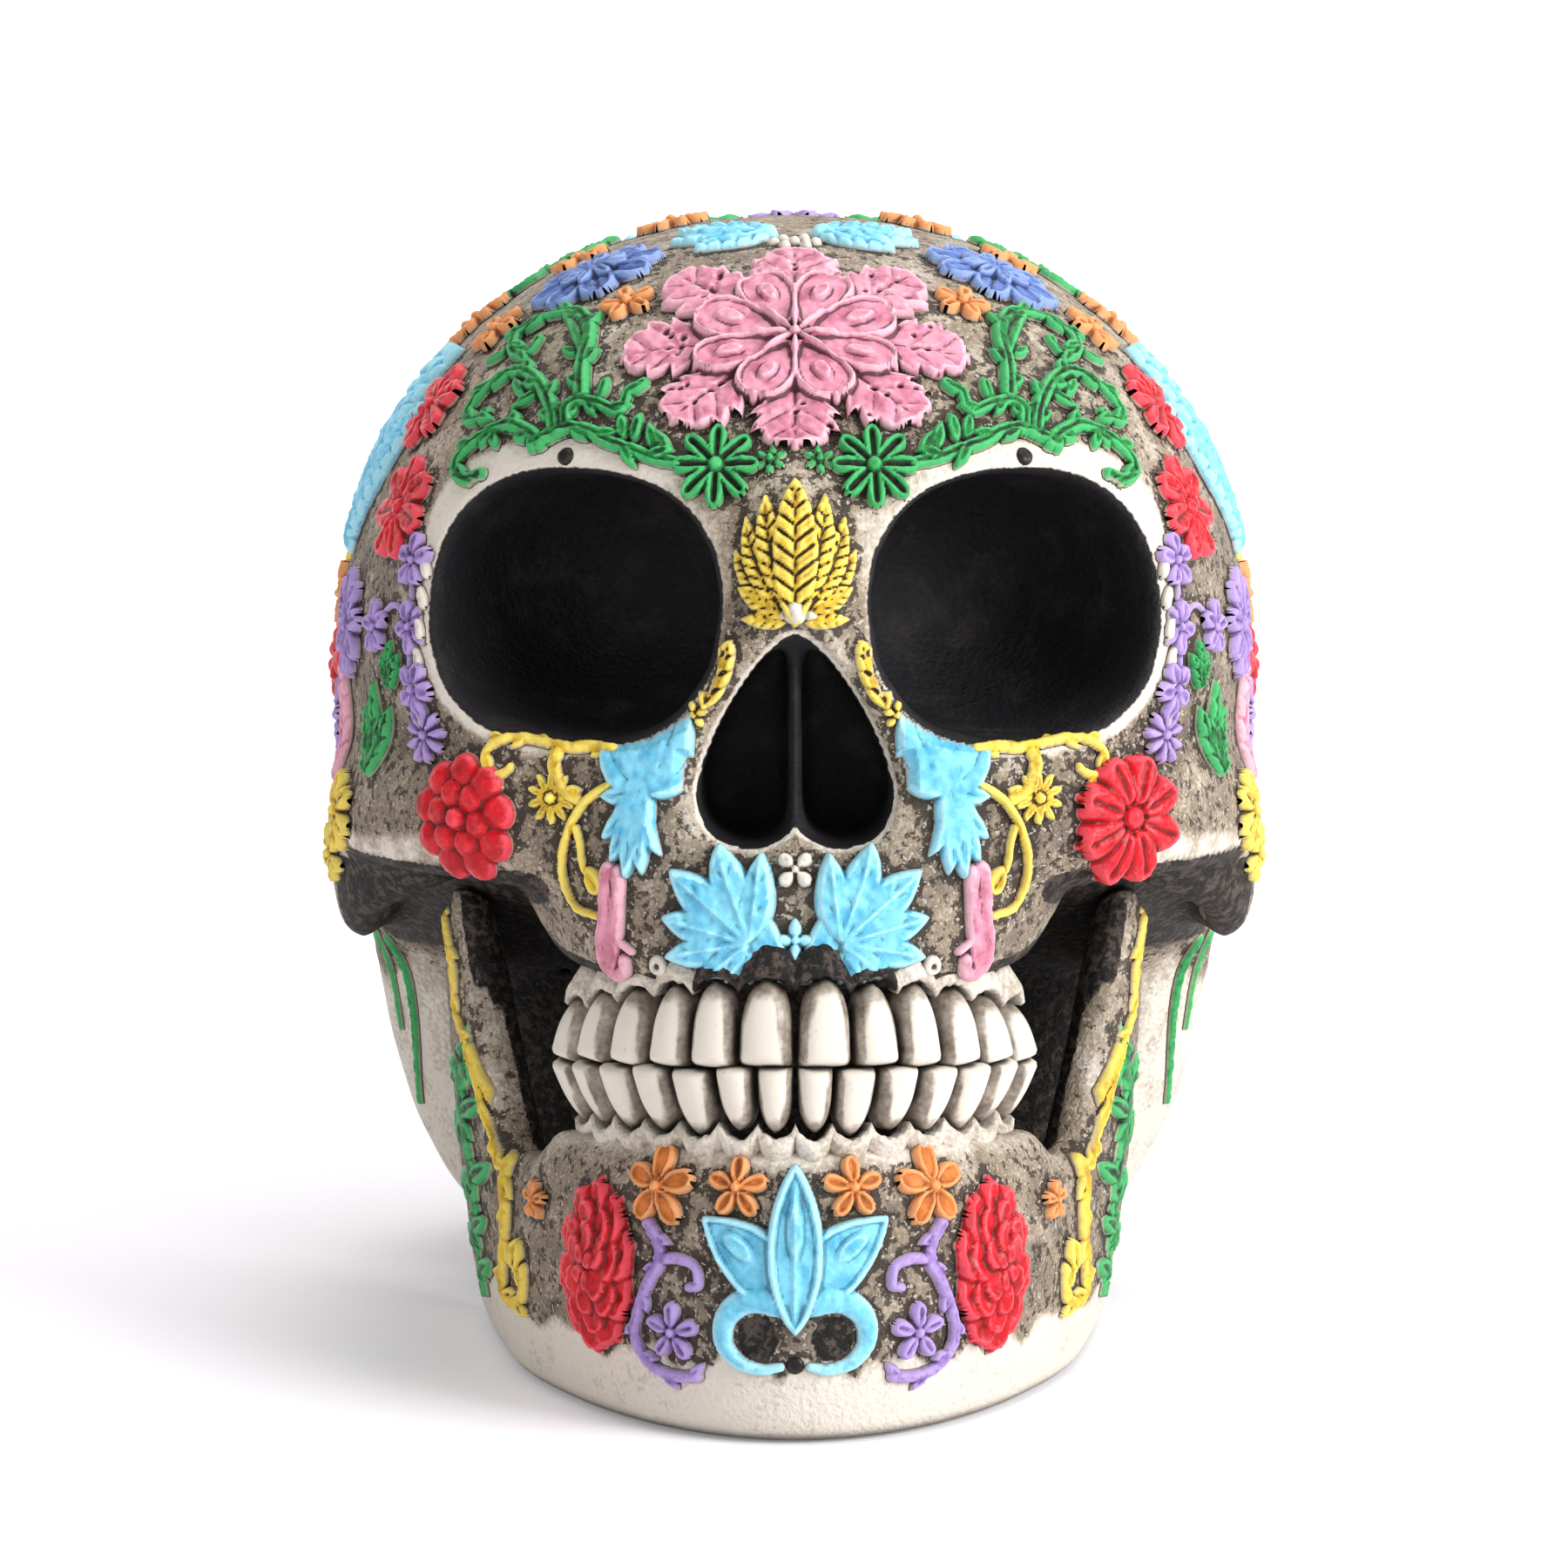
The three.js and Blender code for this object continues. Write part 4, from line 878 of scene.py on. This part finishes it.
        eye.stroke([(0.2, -0.8), (0.7, -2.3), (-0.2, -3.8), (-1.3, -5.3), (-3.3, -6)], 2.0, 1.2, end=0.8,
                   leafy=2.2)
        motif("eye_scroll", "yellow", eye, ("front", 31.6, 92.6))
        curl = Relief(6, 9)
        curl.stroke([(0.9, 7.2), (1.3, 3.6), (1.5, 0.4), (2.3, -3.0), (2.2, -5.6), (0.6, -6.8),
                     (-1.2, -6.2), (-1.4, -4.8)], 2.9, 1.8, end=0.7)
        curl.stroke([(-0.5, 7.0), (-0.7, 3.8), (-0.4, 0.4), (-0.8, -2.2), (-2.8, -3.6)], 2.4, 1.7,
                    end=0.45)
        curl.leaf((1.0, -6.4), (0.2, 7.4), 4.6, 1.25, back=0.3, front=0.3)
        motif("lip_curl", "pink", curl, ("front", 24.2, 69.6))
        jaw = Relief(11, 13)
        jaw.stroke([(0.9, 10.8), (0.5, 7.7), (-0.3, 4.9), (-0.1, 1.6), (1, -3.1), (1.5, -6.8),
                    (0.2, -8.3), (-3.4, -8.3), (-6.5, -6.4), (-7.5, -2.7)], 3.0, 1.5, end=0.7,
                   leafy=4.4)
        jaw.leaf((-5.8, 1.6), (-4.6, -4.0), 3.8, 1.5, rib=0.5)
        motif("jaw_scroll", "yellow", jaw, ("front", 40.5, 20), casting="mandible")
        branch = Relief(17, 25)
        branch.stroke([(6.7, 14), (3.1, 9.2), (0.4, 3.7), (0.4, -1.9), (-4, -6.1), (-6.7, -10.1),
                       (-9.3, -14.5), (-12.7, -19.5), (-14.2, -22.2)], 2.2, 1.3, end=0.8, groove=0.3,
                      leafy=3.4)
        branch.stroke([(-5.4, -6.6), (-11.3, -14.2), (-15, -19.2)], 2.0, 1.2, end=0.7)
        motif("branch_scroll", "yellow", branch, ("front", 48.3, 52.3), casting="mandible")
        nape = Relief(8, 20)
        nape.stroke([(-3.5, 15), (-2, 5), (1, -5), (3.4, -14)], 2.0, 1.1, end=0.7)
        nape.stroke([(1.5, 15), (2.6, 6), (4.2, -2)], 1.8, 1.0, end=0.6)
        motif("nape_line", "green", nape, ("side", 22.0, 40))
        return {"FINISHED"}


class SKULL_OT_beads(bpy.types.Operator):
    """Lay the bone beads, the dark leaves of the lip and the pin holes"""
    bl_idname = "skull.beads"
    bl_label = "Beads"

    def execute(self, context):
        knob = Relief(4, 3)
        knob.ball(0, 0, 1.7, 2.6)
        knob.leaf((-0.5, 0), (-3.4, -0.8), 1.8, 1.2)
        knob.leaf((0.5, 0), (3.4, -0.8), 1.8, 1.2)
        motif("nose_knob", "bone", knob, ("front", 0, 112.4))
        blossom = daisy(2.8, 4, 0.75, 1.3, back=0.6, front=0.35, turn=45)
        motif("lip_blossom", "bone", blossom, ("front", 0, 77.6))
        bud = Relief(4, 6)
        bud.leaf((-0.6, -5.0), (1.6, 4.0), 2.4, 1.2, rib=0.3)
        motif("lip_bud", "black", bud, ("front", 2.0, 65.6))
        crown = Relief(5, 4)
        for u, v in ((-1.6, 1.4), (1.4, 1.8), (-3.0, -0.8), (0, -0.6), (3.0, -1.0), (-1.4, -2.4),
                     (1.6, -2.6)):
            crown.ball(u, v, 0.95, 1.2)
        motif("crown_beads", "bone", crown, ("top", 0, -30))
        row = Relief(3, 13)
        for k in range(6):
            row.leaf((-0.8, 4.2 * k - 12.4), (0.6, 4.2 * k - 9.0), 1.9, 1.0, back=0.4, front=0.5)
        motif("socket_beads", "bone", row, ("front", 51.8, 106))
        pin = Relief(2.0, 2.0)
        pin.ball(0, 0, 1.25, 0.6)
        motif("brow_pin", "black", pin, ("front", 31.2, 132.2))
        motif("chin_pin", "black", pin, ("front", 0, 11.4), casting="mandible")
        gum = Relief(3, 3)
        gum.ball(0, 0, 1.5, 1.0)
        gum.pit(0, 0, 0.8, 0.9)
        for name, place in (("lip_bead_inner", (7.6, 64.6)), ("lip_bead_outer", (18.4, 64.4))):
            motif(name, "bone", gum, ("front", *place))
        return {"FINISHED"}


class SKULL_OT_garland(bpy.types.Operator):
    """Carry the same motifs on over the crown, the sides and the back of the head"""
    bl_idname = "skull.garland"
    bl_label = "Garland"

    def execute(self, context):
        star = daisy(5.0, 5, 0.7, 1.6, **BROAD)
        wheel = daisy(5.6, 9, 0.5, 1.6, **BROAD)
        for name, colour, relief, place, turn, size in (
                ("crown_rosette", "red", "cheek_rose", ("top", 0, 52), 0, 1.2),
                ("crown_lotus", "sky_blue", "chin_lotus", ("back", 0, 146), 0, 1.0),
                ("crown_vine", "green", "brow_scroll", ("top", 36, 22), -70, 1.0),
                ("back_flower", "pink", "forehead_flower", ("back", 0, 108), 0, 0.95),
                ("back_vine", "green", "brow_scroll", ("back", 36, 116), 190, 1.0),
                ("back_plume", "yellow", "nose_plume", ("back", 0, 74), 180, 1.1),
                ("back_rose", "red", "cheek_rose", ("back", 30, 84), 0, 1.0),
                ("back_leaf", "sky_blue", "lip_leaf", ("back", 18, 68), 200, 1.0),
                ("side_flower", "royal_blue", "crown_flower", ("side", 30, 118), 0, 1.0),
                ("side_rose", "red", "cheek_rose", ("side", 10, 96), 0, 1.0),
                ("side_vine", "green", "jaw_vine", ("side", 30, 92), 70, 1.0),
                ("side_acanthus", "sky_blue", "nose_leaf", ("side", 52, 104), 90, 1.2),
                ("side_scroll", "yellow", "cheek_scroll", ("side", 8, 118), 40, 1.1),
                ("side_bow", "sky_blue", "crown_leaf", ("side", 36, 140), 20, 1.0),
                ("side_sprig", "green", "temple_leaf", ("side", 58, 88), -30, 1.3),
                ("nape_lotus", "sky_blue", "chin_lotus", ("side", 34, 70), 0, 0.9),
                ("nape_scroll", "lilac", "chin_scroll", ("side", 14, 74), 0, 1.0),
                ("nape_rose", "red", "jaw_rose", ("side", 58, 68), 90, 0.7),
                ("crown_wheel", "lilac", "temple_panel", ("top", 0, 35), 0, 1.0),
                ("crown_sprig", "green", "temple_leaf", ("top", 13, 33), -60, 1.0),
                ("crown_bow", "sky_blue", "crown_leaf", ("top", 26, 36), 60, 0.9),
                ("back_scroll", "yellow", "cheek_scroll", ("back", 14, 131), 150, 1.0),
                ("back_petal", "pink", "temple_petal", ("back", 46, 80), 20, 1.1),
                ("back_sprig", "green", "temple_leaf", ("back", 36, 68), 0, 1.2)):
            motif(name, colour, drawn[relief], place, turn=turn, size=size)
        for k, (colour, view, across, up) in enumerate((
                ("orange", "top", 18, 10), ("lilac", "top", 20, 50), ("orange", "top", 46, 0),
                ("orange", "side", 20, 136), ("lilac", "side", 46, 132), ("yellow", "side", 46, 84),
                ("lilac", "back", 24, 132), ("orange", "back", 46, 96), ("yellow", "back", 22, 100),
                ("orange", "side", -4, 108), ("yellow", "side", 24, 82), ("orange", "side", 46, 60),
                ("lilac", "side", -2, 90), ("yellow", "side", 2, 66), ("orange", "back", 14, 60),
                ("yellow", "top", 22, 66), ("orange", "side", 12, 146), ("lilac", "back", 52, 108))):
            motif(f"scattered_{k + 1}", colour, star if k % 2 else wheel, (view, across, up))
        return {"FINISHED"}


class SKULL_OT_teeth(bpy.types.Operator):
    """Set the teeth one by one along the bite, and the gums' edges round their roots"""
    bl_idname = "skull.teeth"
    bl_label = "Teeth"

    def execute(self, context):
        ivory, resin = stained_shaded_ivory(), paints["ground"]
        for name, widths, edge, root in (("upper", UPPER_WIDTHS, BITE + 0.2, UPPER_ROOT),
                                         ("lower", LOWER_WIDTHS, BITE - 0.2, LOWER_ROOT)):
            self.row(name, widths, edge, root, ivory)
            self.gum(name, widths, root, resin)
        return {"FINISHED"}

    def along(self, walked):
        """Place on the tooth line, the way ahead along it and the way out, a length from the middle."""
        angle = np.linspace(0, math.pi / 2, 400)
        line = np.stack([TOOTH_HALF * np.sin(angle), TOOTH_FRONT + TOOTH_LONG * (1 - np.cos(angle))], 1)
        far = lengths(line)
        spot, after = (np.array([np.interp(w, far, line[:, k]) for k in (0, 1)])
                       for w in (walked, walked + 0.5))
        ahead = (after - spot) / np.linalg.norm(after - spot)
        return spot, ahead, np.array([ahead[1], -ahead[0]])

    def row(self, name, widths, edge, root, ivory):
        """One row of teeth as one piece, each tooth a little uneven."""
        points, faces, stain_and_shade = [], [], []
        levels, around = TOOTH_LEVELS, TOOTH_SIDES
        draw = np.random.default_rng(len(name) + int(root))
        for side in (1, -1):
            start = 0.0
            for wide in widths:
                spot, ahead, out = self.along(start + wide / 2)
                start += wide
                fall = BITE_FALL * (spot[1] - TOOTH_FRONT)
                bottom = edge - fall + draw.uniform(-0.25, 0.25)
                top = root - ROOT_SAG[name] * fall + draw.uniform(-0.5, 0.5)
                slim = draw.uniform(0.88, 0.97)
                worn = draw.uniform(-0.22, 0.22)
                lean = draw.uniform(-0.05, 0.05)
                tuck = TOOTH_TUCK[name] * spot[0]
                first = len(points)
                for level in range(levels):
                    t = level / (levels - 1)
                    body = (1 - 0.12 * t) * math.sqrt(max(0.0, 1 - max(0.0, (t - 0.42) / 0.59) ** 2))
                    cap = 0.45 + 0.55 * math.sin(min(1.0, t / 0.1) * math.pi / 2)
                    for corner in range(around):
                        angle = 2 * math.pi * corner / around
                        ca, sa = math.cos(angle), math.sin(angle)
                        across = math.copysign(abs(ca) ** 0.8, ca) * wide * 0.5 * slim * body
                        across *= 0.93 + 0.07 * cap
                        deep = math.copysign(abs(sa) ** 0.75, sa) * TOOTH_DEEP * cap * (0.5 + 0.5 * body)
                        flat = spot + ahead * (across + lean * t * wide) + out * (deep - 0.8 * t * t)
                        points.append((side * (flat[0] - tuck * t), flat[1], bottom + (top - bottom) * t))
                        # The flanks, the part near the root and the back face go dark: brown stain and
                        # painted shade.
                        stained_shaded_flank = 0.66 * smooth((abs(ca - worn) - 0.62 + 0.3 * t) / 0.2)
                        stain_and_shade.append(max(stained_shaded_flank, 0.7 * smooth((t - 0.62) / 0.3), 0.9 * (sa < -0.3)))
                turned = (side > 0) != (root > edge)
                faces += woven(levels, around, first, closed=True, turned=turned)
                ends = (tuple(range(first + around - 1, first - 1, -1)),
                        tuple(range(first + (levels - 1) * around, first + levels * around)))
                faces += [end[::-1] if turned else end for end in ends]
        new_piece(f"{name}_teeth", points, faces, ivory, {"root": stain_and_shade},
                  (f"{name}_tooth_row",))

    def gum(self, name, widths, root, resin):
        """The torn edge of the casting round the roots: bone, but black over the upper front teeth."""
        sign = 1 if name == "upper" else -1
        draw = np.random.default_rng(len(name))
        line, outs, bone = [], [], []
        for side in (-1, 1):
            start, half = 0.0, []
            for number, wide in enumerate(widths):
                for k in range(GUM_STEPS):
                    share = k / GUM_STEPS
                    spot, _, out = self.along(start + share * wide)
                    fall = ROOT_SAG[name] * (BITE_FALL * (spot[1] - TOOTH_FRONT))
                    tuck = TOOTH_TUCK[name] * spot[0]
                    swing = 2.2 * math.sin(math.pi * share) ** 0.6 + draw.uniform(-0.25, 0.25)
                    flat = spot + out * (TOOTH_DEEP - 1.5 + 0.6 * math.sin(math.pi * share))
                    half.append(((side * (flat[0] - tuck), flat[1], root - fall + sign * (swing - 1.6)),
                                 (side * out[0], out[1], 0.0), 1.0 if sign < 0 or number > 1 else 0.0))
                start += wide
            for place, out, share in (half[::-1] if side < 0 else half):
                line.append(place)
                outs.append(out)
                bone.append(share)
        line, outs, bone = np.array(line), np.array(outs), np.array(bone)
        up = np.array([0, 0, sign])
        # The edge's section, out and up in millimetres
        section = ((-2.4, 0.3), (-0.2, 0.0), (0.35, 0.5), (0.2, 1.6), (-1.6, 4.2))
        rows = [line + outs * a + up * b for a, b in section]
        faces = woven(len(rows), len(line), turned=sign < 0)
        bone = np.tile(bone, len(rows))
        new_piece(f"{name}_gum", np.vstack(rows), faces, resin,
                  {"gap": np.full(len(bone), 9.0), "hole": np.full(len(bone), 20.0),
                   "clean": 0.25 + 0.6 * bone, "dark_paint_and_shade": 1 - bone})


class SKULL_OT_ground(bpy.types.Operator):
    """Finish the castings: clean rims, dark sockets, the wash between the motifs, and painted shade under
    the ledges and in the mouth
    """
    bl_idname = "skull.ground"
    bl_label = "Ground"

    def execute(self, context):
        resin = paints["ground"]
        stipple = context.scene.skull.stipple / MM
        cloud = np.vstack(outlines)[::3]
        nearest = KDTree(len(cloud))
        for k, point in enumerate(cloud):
            nearest.insert(point, k)
        nearest.balance()
        for name, casting in castings.items():
            points, normals = casting.points, casting.normals()
            gap = np.array([nearest.find(p)[2] for p in points])
            bend = ((points - casting.averaged(points)) * normals).sum(1)
            clean = 0.4 + np.clip(bend * 5, -0.15, 0.16)
            finish = self.cranium if name == "cranium" else self.jaw
            hole, wiped, dark_paint_and_shade = finish(points, normals)
            clean = clean + wiped
            dark_paint_and_shade = dark_paint_and_shade * (1 - smooth(bend * 14 - 0.4))
            rough = below(clean, 0.8, 0.3) * smooth(hole / 2) * below(dark_paint_and_shade, 0.5, 0.4)
            marks = np.array([noise.noise(Vector(p) / 2.2) for p in points])
            made = points + normals * (stipple * rough * marks)[:, None]
            new_piece(name + "_casting", made, casting.faces, resin,
                      {"gap": gap, "hole": hole, "clean": clean, "dark_paint_and_shade": dark_paint_and_shade}, (name,))
        return {"FINISHED"}

    def cranium(self, points, normals):
        """Distance out from the black openings, how clean each place of the skull is, and how dark:
        painted shade under the cheek ledges, dark paint and painted shade in the mouth.
        """
        x, y, z = np.abs(points[:, 0]), points[:, 1], points[:, 2]
        socket, high, outer = self.socket(points)
        nose = self.nose(points, normals)
        rim = 0.6 + 3.2 * above(high, 0.05, 0.6) + 0.9 * above(outer, 0.2, 0.5)
        wiped = 0.6 * smooth((rim - socket) / 1.2 + 0.5) * above(socket, -1, 1)
        wiped *= 1 - 0.75 * below(outer, -0.25, 0.4)
        wiped += 0.5 * below(nose, 1.0, 0.6) + 0.1 * above(z, 116, 12)
        tide = 49 + 3.0 * np.sin(0.13 * x + 0.11 * y) + 1.6 * np.sin(0.31 * x - 0.27 * y)
        wiped += 0.5 * above(y, 5, 15) * smooth((tide - z) / 4 + 0.5)
        down = normals[:, 2]
        # Faces turned down under the cheek ledges: painted shade.
        under = below(down, -0.42, 0.15) * below(z, 86, 4) * above(z, 52, 4) * below(y, 20, 10)
        ledge = below(down, -0.04, 0.14) * above(down, -0.5, 0.14) * above(z, 66, 4)
        ledge *= 0.75 + 0.25 * np.sin(0.9 * x + 0.6 * y)
        wiped += 0.46 * ledge * below(z, 84, 3) * above(x, 37, 5) * below(y, -10, 8)
        # Faces turned from the front, deep in the mouth: dark paint and painted shade.
        throat = below(normals[:, 1], -0.1, 0.3) * above(y, -30, 8) * below(z, 74, 4)
        throat *= below(x, 47, 5)
        # The low front of the cheek arch, under its ledge: painted shade.
        cheek = above(x, 50, 4) * below(z, 73, 2) * above(z, 58, 4) * above(y, -60, 6)
        cheek *= below(normals[:, 1], -0.1, 0.3)
        dark_paint_and_shade = np.maximum(np.maximum(under, throat), cheek)
        return np.minimum(socket, nose), wiped, dark_paint_and_shade

    def jaw(self, points, normals):
        """The same for the lower jaw, which is dark inside, with dark paint and painted shade, and clean
        along its lower edge.
        """
        x, y, z = points.T
        out = np.stack([x / JAW_HALF ** 2, (y - JAW_BACK) / JAW_LONG ** 2], 1)
        out /= np.linalg.norm(out, axis=1, keepdims=True) + 1e-9
        facing = (normals[:, :2] * out).sum(1)
        # Inward faces of the jaw: dark paint and painted shade; the tops of its branches under the cheek
        # arch: painted shade.
        dark_paint_and_shade = below(facing, 0.4, 0.45) * above(z, 6, 4)
        dark_paint_and_shade = np.maximum(dark_paint_and_shade, above(z, 50, 8) * below(facing, 0.85, 0.25))
        reach = np.hypot(x / JAW_HALF, (y - JAW_BACK) / JAW_LONG)
        dark_paint_and_shade *= 1 - 0.8 * above(reach, 0.9, 0.05) * above(facing, -0.5, 0.3) * below(z, 58, 10)
        pool = np.hypot((np.abs(x) - 5.0) / 2.8, (z - 15.0) / 3.2)  # wash left inside the lotus volutes
        dark_paint_and_shade = np.maximum(dark_paint_and_shade, below(pool, 1.15, 0.3) * below(y, -55, 5))
        level = 11.0 + 1.1 * np.sin(x * 0.55) + 0.8 * np.sin(x * 1.3 + 1.0)
        wiped = 0.6 * smooth((level - z) / 2.0 + 0.5)
        wiped += 0.4 * above(z, 36.5, 3) * below(z, 46, 3) * above(facing, 0.2, 0.3) * below(y, -36, 10)
        return np.full(len(points), 20.0), wiped, dark_paint_and_shade

    def socket(self, points):
        """Distance out from the nearer eye socket, and how far up and outward a place lies from it."""
        x = np.abs(points[:, 0]) - ORBIT_MIDDLE[0]
        y = points[:, 1] - ORBIT_MIDDLE[1]
        z = points[:, 2] - ORBIT_MIDDLE[2]
        a = x * math.cos(ORBIT_YAW) + y * math.sin(ORBIT_YAW)
        deep = y * math.cos(ORBIT_YAW) - x * math.sin(ORBIT_YAW)
        b = deep * math.cos(ORBIT_TILT) + z * math.sin(ORBIT_TILT) - ORBIT_INSET
        c = z * math.cos(ORBIT_TILT) - deep * math.sin(ORBIT_TILT)
        parts = [np.abs(v / half) for v, half in zip((a, b, c), ORBIT_HALF)]
        measure = sum(part ** ORBIT_POWER for part in parts) ** (1 / ORBIT_POWER)
        flat = np.hypot(a / ORBIT_HALF[0], c / ORBIT_HALF[2]) + 1e-6
        return (measure - 1) * ORBIT_REACH - 0.9, c / ORBIT_HALF[2] / flat, a / ORBIT_HALF[0] / flat

    def nose(self, points, normals):
        """Distance out from the edge of the open nose, whose walls count as inside it."""
        k = np.linspace(0, 1, 24)[:, None]

        def bow(a, b, c, d):
            """A curve from a to d, drawn towards b and c."""
            a, b, c, d = (np.array(p) for p in (a, b, c, d))
            return a * (1 - k) ** 3 + 3 * b * k * (1 - k) ** 2 + 3 * c * k ** 2 * (1 - k) + d * k ** 3

        half = NOSE_HALF
        side = bow((0, NOSE_TOP), (half * 0.3, NOSE_TOP - 2),
                   (half * 0.9, NOSE_WAIST + 8), (half, NOSE_WAIST))
        low = bow((half, NOSE_WAIST), (half, NOSE_FLOOR - 1), (half * 0.4, NOSE_FLOOR - 2),
                  (0, NOSE_SPINE))
        edge = np.vstack([side, low])
        close = (np.abs(points[:, 0]) < 22) & (points[:, 1] < -55) & (np.abs(points[:, 2] - 95) < 24)
        spots = np.stack([np.abs(points[close, 0]), points[close, 2]], 1)
        gap = np.min(np.linalg.norm(spots[:, None] - edge[None], axis=2), axis=1)
        wide = np.interp(-spots[:, 1], -side[:, 1], side[:, 0])
        wide_low = np.interp(-spots[:, 1], -low[:14, 1], low[:14, 0])
        wide = np.where(spots[:, 1] < NOSE_WAIST, wide_low, wide)
        floor = np.interp(spots[:, 0], low[::-1, 0], low[::-1, 1])
        inside = (spots[:, 0] < wide) & (spots[:, 1] > floor) & (spots[:, 1] < NOSE_TOP)
        found = np.full(len(points), 20.0)
        found[close] = np.where(inside, -gap, gap) + 1.5 * (-normals[close, 1] - 0.55)
        return found


class SKULL_OT_stage(bpy.types.Operator):
    """Set the floor, the lamps and the camera"""
    bl_idname = "skull.stage"
    bl_label = "Stage"

    def execute(self, context):
        settings = context.scene.skull
        profile = [(FLOOR_NEAR, 0.0), (FLOOR_FAR, 0.0)]
        profile += [(FLOOR_FAR + FLOOR_BEND * math.sin(a), FLOOR_BEND - FLOOR_BEND * math.cos(a))
                    for a in np.linspace(0.1, math.pi / 2, 14)]
        profile += [(FLOOR_FAR + FLOOR_BEND, WALL_TOP)]
        points = [(x, y, z) for y, z in profile for x in (-FLOOR_HALF, FLOOR_HALF)]
        mesh = bpy.data.meshes.new("studio_sweep")
        mesh.from_pydata(points, [], woven(len(profile), 2))
        mesh.shade_smooth()
        mesh.materials.append(self.paper())
        floor = placed("studio_sweep", mesh)
        world = bpy.data.worlds.new("studio_light")
        context.scene.world = world
        world.use_nodes = True
        background = world.node_tree.nodes["Background"]
        fill(world.node_tree, background, {"Color": linear("#FFFFFF"), "Strength": 0.4})
        self.lamp("key_softbox", (1.2, -0.75, 0.62), size=0.9, power=27.0)
        self.lamp("fill_softbox", (-1.0, -0.9, 0.5), size=0.9, power=3.0)
        self.lamp("top_softbox", (0.1, 0.1, 1.3), size=0.9, power=9.0)
        camera = bpy.data.cameras.new("photo_camera")
        camera.sensor_width = 36.0
        camera.lens = CAMERA_LENS
        holder = placed("photo_camera", camera)
        holder.location = (CAMERA_ASIDE, -settings.camera_far + FACE_DEPTH * MM, settings.camera_high)
        holder.rotation_euler = (math.pi / 2 - settings.camera_pitch, 0, 0)
        context.scene.camera = holder
        context.scene.view_settings.view_transform = "Standard"
        return {"FINISHED"}

    def paper(self):
        """Matt white paper, lifted for the camera, more so far off, so that only the shadow is grey."""
        material, tree, shader = blank("paper_sweep_matt")
        ray = node(tree, "ShaderNodeLightPath")
        seen = summed(tree, ray.outputs["Is Camera Ray"], ray.outputs["Is Glossy Ray"])
        seen = summed(tree, seen, ray.outputs["Is Transmission Ray"])
        place = node(tree, "ShaderNodeNewGeometry").outputs["Position"]
        away = node(tree, "ShaderNodeVectorMath", {0: place}, operation="LENGTH").outputs["Value"]
        lift = ranged(tree, away, low=0.7, high=1.3, to_low=0.17, to_high=0.8)
        fill(tree, shader, {"Base Color": linear("#F4F2F6"), "Roughness": 0.9, "Specular IOR Level": 0.1,
                            "Emission Color": linear("#FFFFFF"),
                            "Emission Strength": scaled(tree, seen, lift)})
        return material

    def lamp(self, name, place, size, power):
        """A square softbox that faces the skull, its size in metres and its power in watts."""
        light = bpy.data.lights.new(name, "AREA")
        light.size = size
        light.energy = power
        holder = placed(name, light)
        holder.location = place
        holder.rotation_euler = (Vector((0, 0, 0.08)) - Vector(place)).to_track_quat("-Z", "Y").to_euler()


class SKULL_PT_panel(bpy.types.Panel):
    """The skull's pieces in the order they are made"""
    bl_idname = "SKULL_PT_panel"
    bl_label = "Sugar Skull"
    bl_space_type = "VIEW_3D"
    bl_region_type = "UI"
    bl_category = "Skull"

    def draw(self, context):
        for key in SkullSettings.__annotations__:
            self.layout.prop(context.scene.skull, key)
        for step in STEPS:
            self.layout.operator(step.bl_idname)


STEPS = (SKULL_OT_castings, SKULL_OT_paints, SKULL_OT_flowers, SKULL_OT_roses, SKULL_OT_leaves,
         SKULL_OT_scrolls, SKULL_OT_beads, SKULL_OT_garland, SKULL_OT_teeth, SKULL_OT_ground,
         SKULL_OT_stage)


def register():
    for kind in (SkullSettings, *STEPS, SKULL_PT_panel):
        bpy.utils.register_class(kind)
    bpy.types.Scene.skull = bpy.props.PointerProperty(type=SkullSettings)


def unregister():
    del bpy.types.Scene.skull
    for kind in (SKULL_PT_panel, *reversed(STEPS), SkullSettings):
        bpy.utils.unregister_class(kind)


def main():
    """Runs every step once."""
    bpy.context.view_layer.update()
    register()
    for step in STEPS:
        group, name = step.bl_idname.split(".")
        getattr(getattr(bpy.ops, group), name)()


if __name__ == "__main__":
    main()
